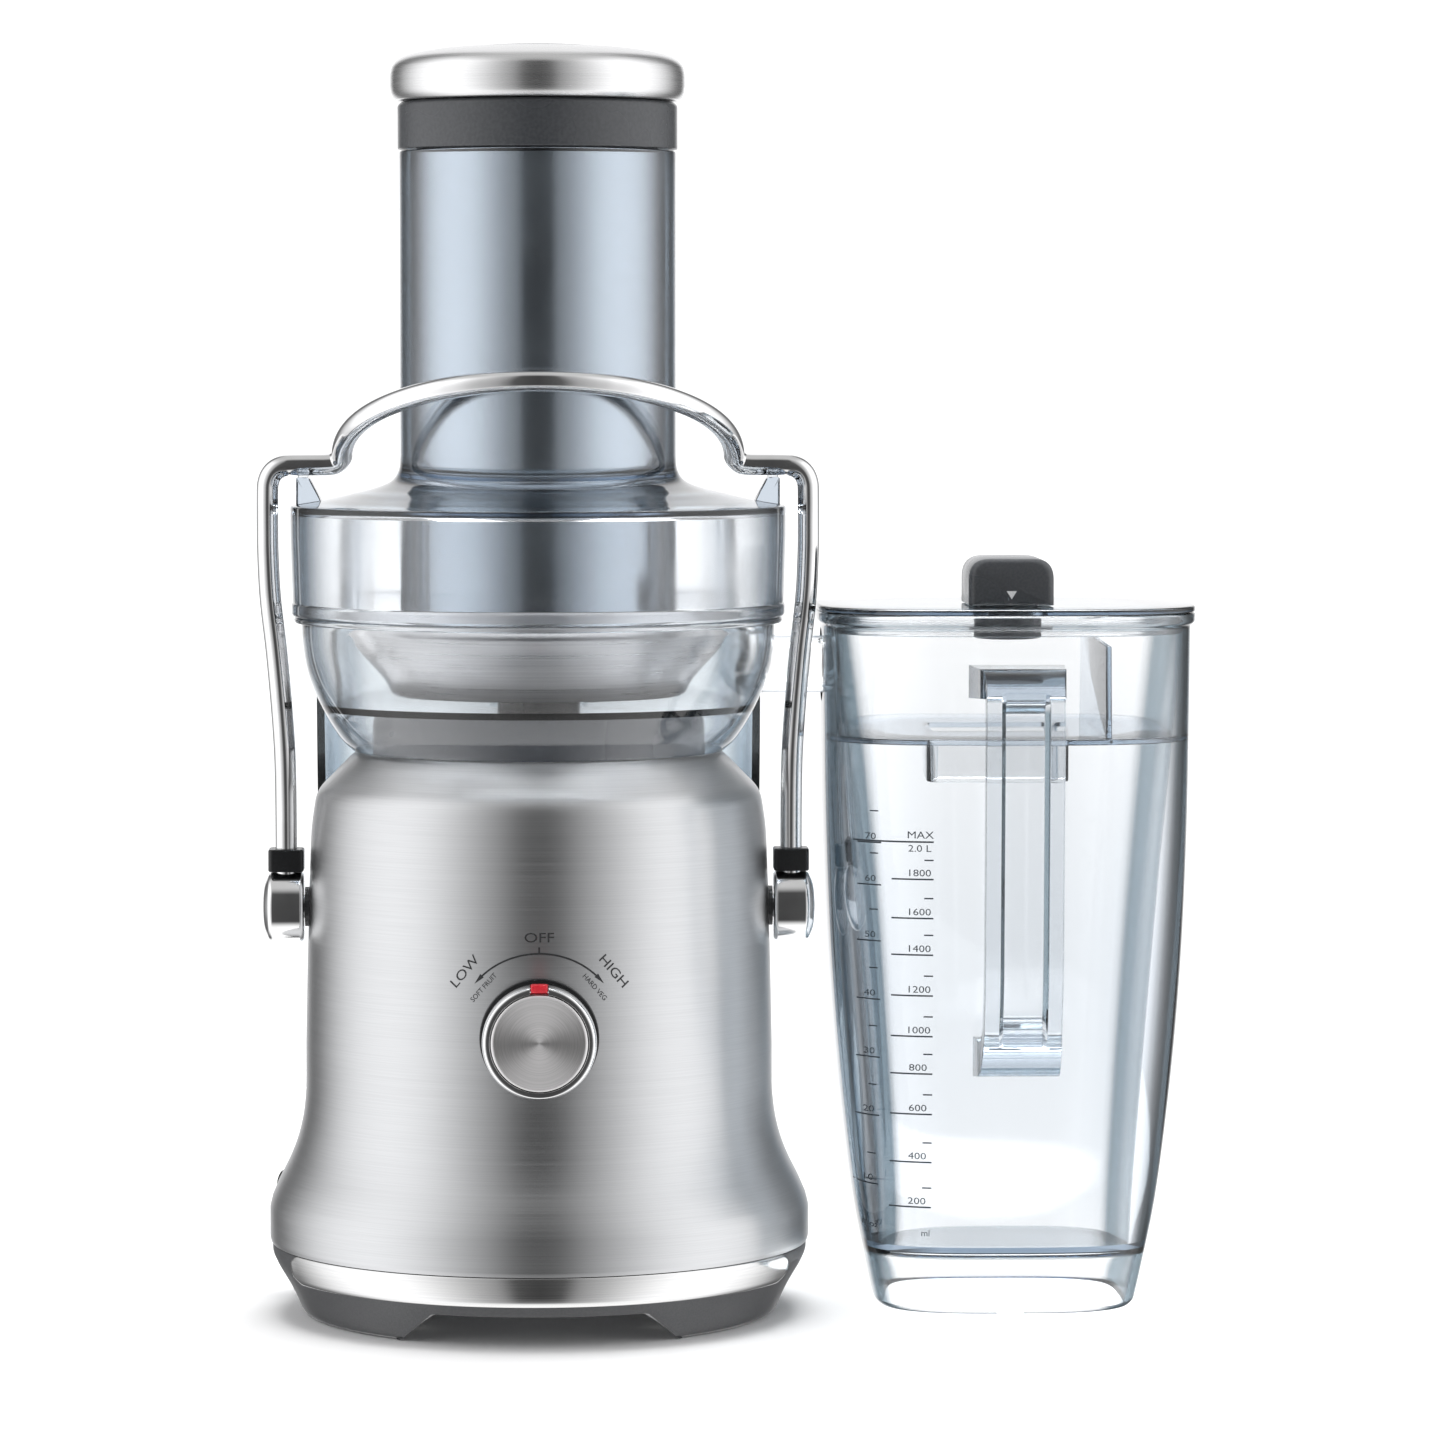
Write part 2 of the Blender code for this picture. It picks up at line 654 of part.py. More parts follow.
def make_rotor(frame, steel, copper, plastic, bearing_low):
    bore = SHAFT_RADIUS + GAP
    shaft_low, shaft_high = FAN_LOW - 4.0, TOWER_TOP
    shaft = [(0, shaft_low), (SHAFT_RADIUS, shaft_low), (SHAFT_RADIUS, shaft_high), (0, shaft_high)]
    placed("motor_shaft", turned(shaft, MIDDLE_SIDES), steel, frame)
    low, high = STATOR_LOW + 2.0, STATOR_HIGH - 2.0
    winding = ARMATURE_RADIUS - 5.0
    armature = [
        (bore, low - 5.0),
        (winding - 5.0, low - 5.0),
        (winding, low - 3.0),
        (winding, low),
        (ARMATURE_RADIUS, low),
        (ARMATURE_RADIUS, high),
        (winding, high),
        (winding, high + 5.0),
        (winding - 5.0, high + 7.5),
        (bore, high + 7.5),
    ]
    placed("armature", turned(armature, MIDDLE_SIDES), copper, frame)
    start, end = high + 7.5 + GAP, bearing_low - 1.0
    commutator = [(bore, start), (12, start), (12, end), (bore, end)]
    placed("commutator", turned(commutator, MIDDLE_SIDES), copper, frame)
    vanes = []
    count = 10
    for i in range(count):
        for share, radius in ((0.0, 10.0), (0.3, FAN_RADIUS), (0.45, FAN_RADIUS), (0.6, 10.0)):
            turn = 2 * math.pi * (i + (share if radius < FAN_RADIUS else 0.5 * share + 0.15)) / count
            vanes.append((radius * math.cos(turn), radius * math.sin(turn)))
    fan = ring_prism(vanes, circle(bore, len(vanes)), FAN_LOW, FAN_HIGH)
    placed("cooling_fan", fan, plastic, frame)
    return start, end


def make_brushes(frame, look, low, high):
    middle = (low + high) / 2
    for name, side in (("left", -1), ("right", 1)):
        span = sorted((side * (12 + 2 * GAP), side * (COIL_OUTER - 2.0)))
        holder = block(span, (-5.0, 5.0), (middle - 3.5, middle + 3.5))
        placed(f"brush_holder_{name}", holder, look, frame)


def make_electrics(frame, board, plastic):
    placed("control_board", block((-22, 22), (58, 61), (78, 128)), board, frame)
    back = DIAL_BACK - 26.0
    switch = block((-13, 13), (-DIAL_BACK + 11.8, -back), (DIAL_HEIGHT - 11, DIAL_HEIGHT + 11))
    switch = placed("rotary_switch", switch, plastic, frame)
    bore = DIAL_SHAFT + RUN
    hole = turned([(0, back + 3), (bore, back + 3), (bore, DIAL_BACK), (0, DIAL_BACK)], SMALL_SIDES, "FRONT")
    cut(switch, moved(hole, (0, 0, DIAL_HEIGHT)))


# Coupling, bowl and basket


def make_coupling_tower(frame, look, rubber):
    flange = DECK_HEIGHT - SHELL_WALL - GAP
    profile = [
        (TOWER_BORE, TOWER_TOP - 13.0),
        (TOWER_BORE, TOWER_TOP),
        (TOWER_RADIUS, TOWER_TOP),
        (TOWER_RADIUS, flange),
        (DECK_RADIUS - 4.5, flange),
        (DECK_RADIUS - 4.5, flange - 4.0),
        (TOWER_RADIUS - 4.0, flange - 4.0),
        (TOWER_RADIUS - 4.0, TOWER_TOP - 3.5),
        (TOWER_BORE + 3.0, TOWER_TOP - 3.5),
        (TOWER_BORE + 3.0, TOWER_TOP - 13.0),
    ]
    placed("coupling_tower", turned(profile, WIDE_SIDES), look, frame)
    low, high = TOWER_TOP - 12.5, TOWER_TOP - 8.5
    bore, outer = SHAFT_RADIUS + 1.0, TOWER_BORE - GAP
    seal = [(bore, low), (outer, low), (outer, high), (bore, high)]
    placed("spindle_seal", turned(seal, MIDDLE_SIDES), rubber, frame)


def make_bowl(frame, look):
    inner = BOWL_RADIUS - BOWL_WALL
    foot = BOWL_FOOT_RADIUS
    rise = BOWL_FLOOR - BOWL_FOOT
    profile = [
        (BOWL_RADIUS, BOWL_RIM),
        (BOWL_RADIUS, FLANGE_TOP + 0.2),
        (BOWL_RADIUS + 2.6, FLANGE_TOP),
        (BOWL_RADIUS + 2.6, FLANGE_TOP - 1.8),
        (BOWL_RADIUS - 0.2, FLANGE_TOP - 2.2),
        (BOWL_RADIUS - 0.7, BOWL_FLOOR + 19.0),
        (BOWL_RADIUS - 2.9, BOWL_FLOOR + 10.6),
        (BOWL_RADIUS - 6.4, BOWL_FLOOR + 2.1),
        (foot + 7.1, BOWL_FOOT + 0.6 * rise),
        (foot, BOWL_FOOT),
        (foot - 2.4, BOWL_FOOT),
        (foot + 4.9, BOWL_FOOT + 0.62 * rise),
        (foot + 8.0, BOWL_FLOOR),
        (BOWL_HOLE, BOWL_FLOOR),
        (BOWL_HOLE, BOWL_FLOOR_TOP),
        (inner - 6.3, BOWL_FLOOR_TOP),
        (inner - 2.7, BOWL_FLOOR + 10.8),
        (inner - 0.6, BOWL_FLOOR + 19.0),
        (inner, BOWL_RIM),
    ]
    bowl = placed("filter_bowl", turned(profile, WIDE_SIDES), look, frame)
    start = BOWL_RADIUS - 8.4
    outside = [(0, start), (SPOUT_RADIUS, start), (SPOUT_RADIUS, SPOUT_END), (0, SPOUT_END)]
    bore = SPOUT_RADIUS - SPOUT_WALL
    inside = [(0, start - DEEP), (bore, start - DEEP), (bore, SPOUT_END + DEEP), (0, SPOUT_END + DEEP)]
    add(bowl, moved(turned(outside, MIDDLE_SIDES, "X"), (0, SPOUT_BACK, SPOUT_HEIGHT)))
    cut(bowl, moved(turned(inside, MIDDLE_SIDES, "X"), (0, SPOUT_BACK, SPOUT_HEIGHT)))


def make_spinning_parts(frame, plastic, steel, blade):
    low, high = TOWER_TOP - 8.0, BASKET_FLOOR + 0.2
    teeth = []
    for i in range(SMALL_SIDES):
        for share, radius in ((0.0, COUPLING_RADIUS - 1.6), (0.5, COUPLING_RADIUS)):
            turn = 2 * math.pi * (i + share) / SMALL_SIDES
            teeth.append((radius * math.cos(turn), radius * math.sin(turn)))
    coupling = ring_prism(teeth, circle(SHAFT_RADIUS + GAP, len(teeth)), low, high)
    placed("drive_coupling", coupling, plastic, frame)
    socket = COUPLING_RADIUS + RUN
    boss = HUB_RADIUS - 2.5
    hub = [
        (0, DISC_UNDERSIDE - GAP),
        (boss, DISC_UNDERSIDE - GAP),
        (boss, BASKET_FLOOR - GAP),
        (HUB_RADIUS, BASKET_FLOOR - GAP),
        (HUB_RADIUS, BOWL_FLOOR + 0.8),
        (socket, BOWL_FLOOR + 0.8),
        (socket, high + RUN),
        (0, high + RUN),
    ]
    placed("basket_hub", turned(hub, MIDDLE_SIDES), plastic, frame)
    cone_top = BASKET_RIM - 9.5
    wall = BASKET_WALL
    basket = [
        (boss + GAP, BASKET_FLOOR),
        (BASKET_FLOOR_RADIUS, BASKET_FLOOR),
        (BASKET_RADIUS - 2.0, cone_top),
        (BASKET_RADIUS, cone_top + 1.5),
        (BASKET_RADIUS, BASKET_RIM),
        (BASKET_RADIUS - wall, BASKET_RIM),
        (BASKET_RADIUS - wall, cone_top + 2.1),
        (BASKET_RADIUS - 2.9, cone_top + 0.8),
        (BASKET_FLOOR_RADIUS - 0.5, BASKET_FLOOR + wall),
        (boss + GAP, BASKET_FLOOR + wall),
    ]
    placed("filter_basket", turned(basket, WIDE_SIDES), steel, frame)
    top = DISC_UNDERSIDE + 1.2
    disc = [
        (0, top + 3.0),
        (5, top + 2.4),
        (7, top),
        (DISC_RADIUS, top),
        (DISC_RADIUS, DISC_UNDERSIDE),
        (0, DISC_UNDERSIDE),
    ]
    placed("cutting_disc", turned(disc, WIDE_SIDES), blade, frame)


# Cover, pusher and pulp container


def rear_outline(half, rear, front, middle, power=3.0, steps=12):
    """A plan outline with a straight front edge and a rounded rear."""
    points = []
    for i in range(steps + 1):
        turn = math.pi * i / steps
        c, s = math.cos(turn), math.sin(turn)
        reach = (abs(c) ** power + abs(s) ** power) ** (-1 / power)
        points.append((half * c * reach, middle + (rear - middle) * s * reach))
    return points + [(-half, front), (half, front)]


def make_cover(frame, look):
    inner = COVER_RADIUS - COVER_WALL
    roof = COVER_TOP - 2.0
    profile = [
        (CHUTE_INNER, CHUTE_BOTTOM),
        (CHUTE_INNER, CHUTE_TOP),
        (CHUTE_RADIUS, CHUTE_TOP),
        (CHUTE_RADIUS, COVER_TOP + 15.0),
        (CHUTE_RADIUS + 2.5, COVER_TOP + 11.5),
        (CHUTE_RADIUS + 8.5, COVER_TOP + 8.6),
        (COVER_RADIUS - 15.4, COVER_TOP + 4.4),
        (COVER_RADIUS - 1.2, COVER_TOP + 1.2),
        (COVER_RADIUS, COVER_TOP),
        (COVER_RADIUS - 0.8, COVER_BOTTOM),
        (inner - 0.8, COVER_BOTTOM),
        (inner - 0.2, roof),
        (CHUTE_RADIUS + 8.0, COVER_TOP + 5.8),
        (CHUTE_RADIUS, COVER_TOP + 7.5),
        (CHUTE_RADIUS, CHUTE_BOTTOM),
    ]
    cover = placed("juicer_cover", turned(profile, WIDE_SIDES), look, frame)
    outer = rear_outline(OVERHANG_HALF, OVERHANG_REAR, OVERHANG_FRONT, PULP_MIDDLE)
    add(cover, prism(outer, OVERHANG_BOTTOM, COVER_TOP - 0.4))
    low = COVER_BOTTOM - 2.0
    chamber_outer = inner - 1.1
    chamber = [(CHUTE_RADIUS + 3, low), (chamber_outer, low), (chamber_outer, roof - 1), (CHUTE_RADIUS + 3, roof - 1)]
    cut(cover, turned(chamber, WIDE_SIDES))
    wall = COVER_WALL
    hollow = rear_outline(OVERHANG_HALF - wall, OVERHANG_REAR - wall, OVERHANG_FRONT + 6, PULP_MIDDLE)
    cut(cover, prism(hollow, OVERHANG_BOTTOM + wall, roof - 0.8))
    mouth_front = COVER_RADIUS + 3.0
    mouth = rear_outline(OVERHANG_HALF - wall, OVERHANG_REAR - wall, mouth_front, PULP_MIDDLE)
    cut(cover, prism(mouth, OVERHANG_BOTTOM - DEEP, OVERHANG_BOTTOM + wall + 1.0))
    for side in (-1, 1):
        ledge = [
            (side * EAR_INNER_LOW, COVER_TOP - 1.0),
            (side * EAR_OUTER, COVER_TOP - 1.0),
            (side * EAR_OUTER, EAR_TOP),
            (side * EAR_INNER_HIGH, EAR_TOP),
        ]
        add(cover, prism(ledge, -EAR_HALF, EAR_HALF, "XZ"))
        stop = block(
            sorted((side * (EAR_INNER_HIGH + 0.2), side * (EAR_OUTER - 0.2))),
            (TUBE_RADIUS + RUN, EAR_HALF - 0.2),
            (EAR_TOP - 2.0, EAR_STOP),
        )
        add(cover, stop)


def make_pusher(frame, clear, plastic, steel):
    inner = PUSHER_RADIUS - PUSHER_WALL
    body_top = CHUTE_TOP - 1.0
    body = [
        (0, PUSHER_BOTTOM),
        (PUSHER_RADIUS - 1.5, PUSHER_BOTTOM),
        (PUSHER_RADIUS, PUSHER_BOTTOM + 1.5),
        (PUSHER_RADIUS, body_top),
        (inner, body_top),
        (inner, PUSHER_BOTTOM + PUSHER_WALL),
        (0, PUSHER_BOTTOM + PUSHER_WALL),
    ]
    placed("pusher_body", turned(body, WIDE_SIDES), clear, frame)
    collar_top = COLLAR_BOTTOM + COLLAR_HEIGHT
    collar = [
        (0, COLLAR_BOTTOM + 3.0),
        (inner - 3.5, COLLAR_BOTTOM + 3.0),
        (inner - 3.5, COLLAR_BOTTOM - 9.0),
        (inner - GAP - 0.2, COLLAR_BOTTOM - 9.0),
        (inner - GAP - 0.2, COLLAR_BOTTOM),
        (COLLAR_RADIUS, COLLAR_BOTTOM),
        (COLLAR_RADIUS - 0.2, collar_top),
        (0, collar_top),
    ]
    placed("pusher_collar", turned(collar, WIDE_SIDES), plastic, frame)
    top = CAP_BOTTOM + CAP_HEIGHT - 0.8
    cap = [
        (0, CAP_BOTTOM),
        (COLLAR_RADIUS - 1.0, CAP_BOTTOM),
        (CAP_RADIUS - 0.8, CAP_BOTTOM + 1.6),
        (CAP_RADIUS, CAP_BOTTOM + 4.0),
        (CAP_RADIUS, CAP_BOTTOM + 8.5),
        (CAP_RADIUS - 1.6, CAP_BOTTOM + 12.0),
        (CAP_RADIUS - 4.6, CAP_BOTTOM + 14.6),
        (CAP_RADIUS - 10.0, CAP_BOTTOM + 16.6),
        (CAP_CENTRE_RADIUS + GAP, top - 0.6),
        (CAP_CENTRE_RADIUS + GAP, top - 2.2),
        (0, top - 2.2),
    ]
    placed("pusher_cap", turned(cap, WIDE_SIDES), steel, frame)
    low = top - 2.2 + GAP
    centre = [
        (0, low),
        (CAP_CENTRE_RADIUS, low),
        (CAP_CENTRE_RADIUS, top - 0.3),
        (CAP_CENTRE_RADIUS - 9.0, top + 0.4),
        (0, top + 0.8),
    ]
    placed("pusher_cap_centre", turned(centre, WIDE_SIDES), plastic, frame)


def pulp_outline(inset):
    """Plan of the pulp container: a rounded rear, and a front hollowed to pass round the base."""
    half = PULP_HALF - inset
    front = PULP_FRONT_RADIUS + inset
    rear = rear_outline(half, PULP_REAR - inset, 0, PULP_MIDDLE, 3.2, 14)[:-2]
    edge = math.asin(half / front)
    steps = 10
    arc = [-edge + 2 * edge * i / steps for i in range(steps + 1)]
    return rear + [(front * math.sin(turn), front * math.cos(turn)) for turn in arc]


def make_pulp_container(frame, look):
    levels = (
        (PULP_TAPER + PULP_WALL, PULP_WALL),
        (PULP_WALL, PULP_TOP),
        (0.0, PULP_TOP),
        (PULP_TAPER, 3.0),
        (PULP_TAPER + 2.5, 0.0),
    )
    rings = [[(x, y, height) for x, y in pulp_outline(inset)] for inset, height in levels]
    placed("pulp_container", lofted(rings), look, frame)


# Locking arm


def arm_path():
    """The tube's centre line: up the left leg, over the shoulder, round the chute, and down again."""
    low = PIVOT_HEIGHT + PIN_RADIUS + 2.6
    bend = 8.0
    swell = ARM_SHOULDER - bend
    leg = []
    steps = 8
    for i in range(steps + 1):
        share = i / steps
        height = low + (swell - low) * share
        ease = 0.5 - 0.5 * math.cos(math.pi * min(1.0, max(0.0, (share - 0.25) / 0.6)))
        leg.append((-HUB_MIDDLE - (ARM_WIDEST - HUB_MIDDLE) * ease, 0.0, height))
    for i in range(1, 4):
        turn = math.pi / 2 * i / 3
        leg.append((-ARM_WIDEST + bend * (1 - math.cos(turn)), 0.0, swell + bend * math.sin(turn)))
    leg.append((-ARM_SHOULDER_INNER - 6.0, 0.0, ARM_SHOULDER))
    reach = ARM_SHOULDER_INNER - 2.0
    arch = []
    steps = 20
    for i in range(steps + 1):
        turn = math.pi * i / steps
        lift = max(0.0, math.sin(turn)) ** 0.85
        arch.append((-reach * math.cos(turn), -ARM_FRONT * math.sin(turn), ARM_SHOULDER + 1.0 + ARM_RISE * lift))
    return leg + arch + [(-x, y, z) for x, y, z in reversed(leg)]


def make_locking_arm(pivot, chrome, plastic):
    curve = bpy.data.curves.new("locking_arm", "CURVE")
    curve.dimensions = "3D"
    curve.bevel_depth = TUBE_RADIUS * MM
    curve.bevel_resolution = 2
    curve.render_resolution_u = 0
    curve.use_fill_caps = True
    path = arm_path()
    line = curve.splines.new("POLY")
    line.points.add(len(path) - 1)
    for point, (x, y, z) in zip(line.points, path):
        point.co = (x * MM, y * MM, (z - PIVOT_HEIGHT) * MM, 1.0)
    curve.materials.append(chrome)
    arm = bpy.data.objects.new("locking_arm", curve)
    arm.parent = pivot
    bpy.context.collection.objects.link(arm)
    for name, side in (("left", -1), ("right", 1)):
        make_arm_hub(pivot, name, side, chrome)
        make_arm_sleeve(pivot, name, side, plastic)


def make_arm_hub(pivot, name, side, look):
    inner, outer = ARM_HUB_INNER, HUB_MIDDLE + ARM_HUB_HALF
    bore = PIN_RADIUS + GAP
    profile = [
        (bore, inner),
        (ARM_HUB_RADIUS - 0.8, inner),
        (ARM_HUB_RADIUS, inner + 0.8),
        (ARM_HUB_RADIUS, outer - 0.4),
        (ARM_HUB_RADIUS - 4.0, outer + 0.65 * ARM_DOME),
        (0, outer + ARM_DOME),
        (0, outer - 1.5),
        (bore, outer - 1.5),
    ]
    shape = turned(profile, MIDDLE_SIDES, "X")
    if side < 0:
        bmesh.ops.rotate(shape, verts=shape.verts, matrix=Matrix.Rotation(math.pi, 3, "Z"))
    hub = placed(f"arm_hub_{name}", shape, look, pivot)
    socket = circle(TUBE_RADIUS + GAP, SMALL_SIDES, (side * HUB_MIDDLE, 0.0))
    cut(hub, prism(socket, PIN_RADIUS + 2.0, ARM_HUB_RADIUS + DEEP))


def make_arm_sleeve(pivot, name, side, look):
    low = ARM_HUB_RADIUS + GAP
    half, corner = ARM_HUB_HALF, 1.5
    outline = []
    for x, y in ((1, 1), (-1, 1), (-1, -1), (1, -1)):
        near = [(x * (half - corner), y * half), (x * half, y * (half - corner))]
        outline += near if x * y < 0 else reversed(near)
    outline = [(side * HUB_MIDDLE + x, y) for x, y in outline]
    sleeve = placed(f"arm_sleeve_{name}", prism(outline, low, low + SLEEVE_HEIGHT), look, pivot)
    hole = circle(TUBE_RADIUS + GAP, SMALL_SIDES, (side * HUB_MIDDLE, 0.0))
    cut(sleeve, prism(hole, low - DEEP, low + SLEEVE_HEIGHT + DEEP))


def make_pivots(frame, pivot, steel, plastic):
    """The pins turn with the arm in bushes that sit in the housing's wall. The left pin carries a
    cam disc, set low of its axis, that holds the safety switch's plunger down while the arm is up."""
    inner = PIN_INNER
    outer = HUB_MIDDLE + ARM_HUB_HALF - 2.0
    for name, side in (("left", -1), ("right", 1)):
        pin = turned([(0, inner), (PIN_RADIUS, inner), (PIN_RADIUS, outer), (0, outer)], MIDDLE_SIDES, "X")
        wide, drop = (PIN_CAM_RADIUS, PIN_CAM_OFFSET) if side < 0 else (PIN_CAM_RADIUS - 1.0, 0.0)
        head = turned([(0, inner - 5), (wide, inner - 5), (wide, inner + 1), (0, inner + 1)], MIDDLE_SIDES, "X")
        moved(head, (0, 0, -drop))
        if side < 0:
            for shape in (pin, head):
                bmesh.ops.rotate(shape, verts=shape.verts, matrix=Matrix.Rotation(math.pi, 3, "Z"))
        add(placed(f"pivot_pin_{name}", pin, steel, pivot), head)
        bush = [
            (PIN_RADIUS + GAP, inner + 3.0),
            (PIN_RADIUS + 3.0, inner + 3.0),
            (PIN_RADIUS + 3.0, ARM_HUB_INNER - 0.4),
            (PIN_RADIUS + GAP, ARM_HUB_INNER - 0.4),
        ]
        bush = turned(bush, MIDDLE_SIDES, "X")
        if side < 0:
            bmesh.ops.rotate(bush, verts=bush.verts, matrix=Matrix.Rotation(math.pi, 3, "Z"))
        placed(f"pivot_bush_{name}", moved(bush, (0, 0, PIVOT_HEIGHT)), plastic, frame)


def make_safety_switch(frame, plastic, pin):
    plunger_top = PIVOT_HEIGHT - PIN_CAM_RADIUS - PIN_CAM_OFFSET - 0.5
    place = PIN_INNER - 2.0
    body_top = plunger_top - 6.0
    body = placed(
        "safety_switch", block((-place - 7, -place + 7), (-9, 9), (body_top - 20, body_top)), plastic, frame
    )
    bore = circle(2.0 + RUN, SMALL_SIDES, (-place, 0.0))
    cut(body, prism(bore, body_top - 12, body_top + DEEP))
    plunger = prism(circle(2.0, SMALL_SIDES), plunger_top - 15, plunger_top)
    placed("switch_plunger", plunger, pin, frame, (-place, 0, 0))


# Dial


def make_dial(frame, plastic, chrome, red):
    wall = BODY_RADIUS
    bore = DIAL_SHAFT + RUN
    ring = ESCUTCHEON_RADIUS
    escutcheon = [
        (bore, wall - 9.5),
        (ring + 3.0, wall - 9.5),
        (ring + 3.0, wall - 6.8),
        (ring, wall - 6.8),
        (ring, DIAL_BACK - RUN),
        (bore, DIAL_BACK - RUN),
    ]
    shape = moved(turned(escutcheon, MIDDLE_SIDES, "FRONT"), (0, 0, DIAL_HEIGHT))
    placed("dial_escutcheon", shape, plastic, frame)
    at = (0, 0, DIAL_HEIGHT)
    face_seat = DIAL_FRONT - 2.4
    dial = [
        (0, DIAL_BACK - 21.0),
        (DIAL_SHAFT, DIAL_BACK - 21.0),
        (DIAL_SHAFT, DIAL_BACK),
        (DIAL_RADIUS - 1.0, DIAL_BACK),
        (DIAL_RADIUS, DIAL_BACK + 1.0),
        (DIAL_RADIUS, DIAL_FRONT - 1.5),
        (DIAL_RADIUS - 0.7, DIAL_FRONT - 0.8),
        (DIAL_FACE_RADIUS + GAP, DIAL_FRONT - 0.8),
        (DIAL_FACE_RADIUS + GAP, face_seat),
        (0, face_seat),
    ]
    knob = placed("control_dial", turned(dial, WIDE_SIDES, "FRONT"), chrome, frame, at)
    low = DIAL_FACE_RADIUS + 0.1
    notch = block((-3.2, 3.2), (-DIAL_FRONT - DEEP, -DIAL_FRONT + 6.0), (low, DIAL_RADIUS + DEEP))
    cut(knob, notch)
    face = [
        (0, face_seat + GAP),
        (DIAL_FACE_RADIUS, face_seat + GAP),
        (DIAL_FACE_RADIUS, DIAL_FRONT - 0.4),
        (DIAL_FACE_RADIUS - 1.0, DIAL_FRONT),
        (0, DIAL_FRONT),
    ]
    placed("dial_face", turned(face, WIDE_SIDES, "FRONT"), chrome, frame, at)
    mark = block((-2.8, 2.8), (-DIAL_FRONT + 0.5, -DIAL_FRONT + 5.6), (low + 2 * GAP, DIAL_RADIUS + 0.3))
    placed("dial_pointer", mark, red, frame, at)


# Juice jug


def jug_half_width(height):
    """Half the jug's width at a height, read along straight stretches of its outline."""
    share = height / JUG_HEIGHT
    for (low, wide_low), (high, wide_high) in zip(JUG_OUTLINE, JUG_OUTLINE[1:]):
        if share <= high:
            return JUG_HALF * (wide_low + (wide_high - wide_low) * (share - low) / (high - low))
    return JUG_HALF


def jug_ring(height, inset, grow=0.0):
    """A section of the jug at a height, drawn in by an inset and out by a lip."""
    half = jug_half_width(height)
    a = half - inset + grow
    b = half * JUG_DEPTH_SHARE - inset + grow
    return [(x, y, height) for x, y in rounded_square(a, b, JUG_CORNER, JUG_SIDES)]


def make_jug(jug, look):
    heights = [share * JUG_HEIGHT for share, _ in JUG_OUTLINE]
    floor_top = JUG_FLOOR + JUG_WALL
    rings = [jug_ring(floor_top, JUG_WALL)]
    rings += [jug_ring(height, JUG_WALL) for height in heights[2:]]
    rings += [jug_ring(JUG_HEIGHT, JUG_WALL), jug_ring(JUG_HEIGHT, 0, JUG_RIM_LIP)]
    rings += [jug_ring(JUG_HEIGHT - 3.0, 0, JUG_RIM_LIP)]
    rings += [jug_ring(height, 0) for height in reversed(heights)]
    rings += [jug_ring(0.0, JUG_WALL), jug_ring(JUG_FLOOR, JUG_WALL)]
    body = placed("jug_body", lofted(rings), look, jug)
    add(body, handle_shape())
    inlet = turned([(0, -90), (JUG_INLET, -90), (JUG_INLET, -40), (0, -40)], MIDDLE_SIDES, "X")
    cut(body, moved(inlet, (0, 0, SPOUT_HEIGHT)))
    front = -JUG_HALF * JUG_DEPTH_SHARE
    cut(body, prism(circle(5.0, SMALL_SIDES, (0.0, 0.5)), front - DEEP, -20.0, "XZ"))


def handle_shape():
    """A D-shaped handle on the jug's front, ending inside the wall's thickness."""
    top_end = -(jug_half_width(HANDLE_TOP - 6) * JUG_DEPTH_SHARE - JUG_WALL / 2)
    low_end = -(jug_half_width(HANDLE_BOTTOM + 8) * JUG_DEPTH_SHARE - JUG_WALL / 2)
    reach, thick = HANDLE_REACH, HANDLE_THICK
    outline = [
        (top_end, HANDLE_TOP),
        (-reach + 12, HANDLE_TOP),
        (-reach + 3, HANDLE_TOP - 4),
        (-reach, HANDLE_TOP - 14),
        (-reach + 4, HANDLE_BOTTOM + 34),
        (-reach + 11, HANDLE_BOTTOM + 11),
        (-reach + 23, HANDLE_BOTTOM),
        (low_end, HANDLE_BOTTOM),
        (low_end, HANDLE_BOTTOM + 16),
        (-reach + 25, HANDLE_BOTTOM + 18),
        (-reach + thick + 8, HANDLE_BOTTOM + 26),
        (-reach + thick + 4, HANDLE_BOTTOM + 38),
        (-reach + thick, HANDLE_TOP - 22),
        (-reach + thick + 5, HANDLE_TOP - 13),
        (top_end, HANDLE_TOP - 12),
    ]
    return prism(outline, -HANDLE_HALF, HANDLE_HALF, "YZ")


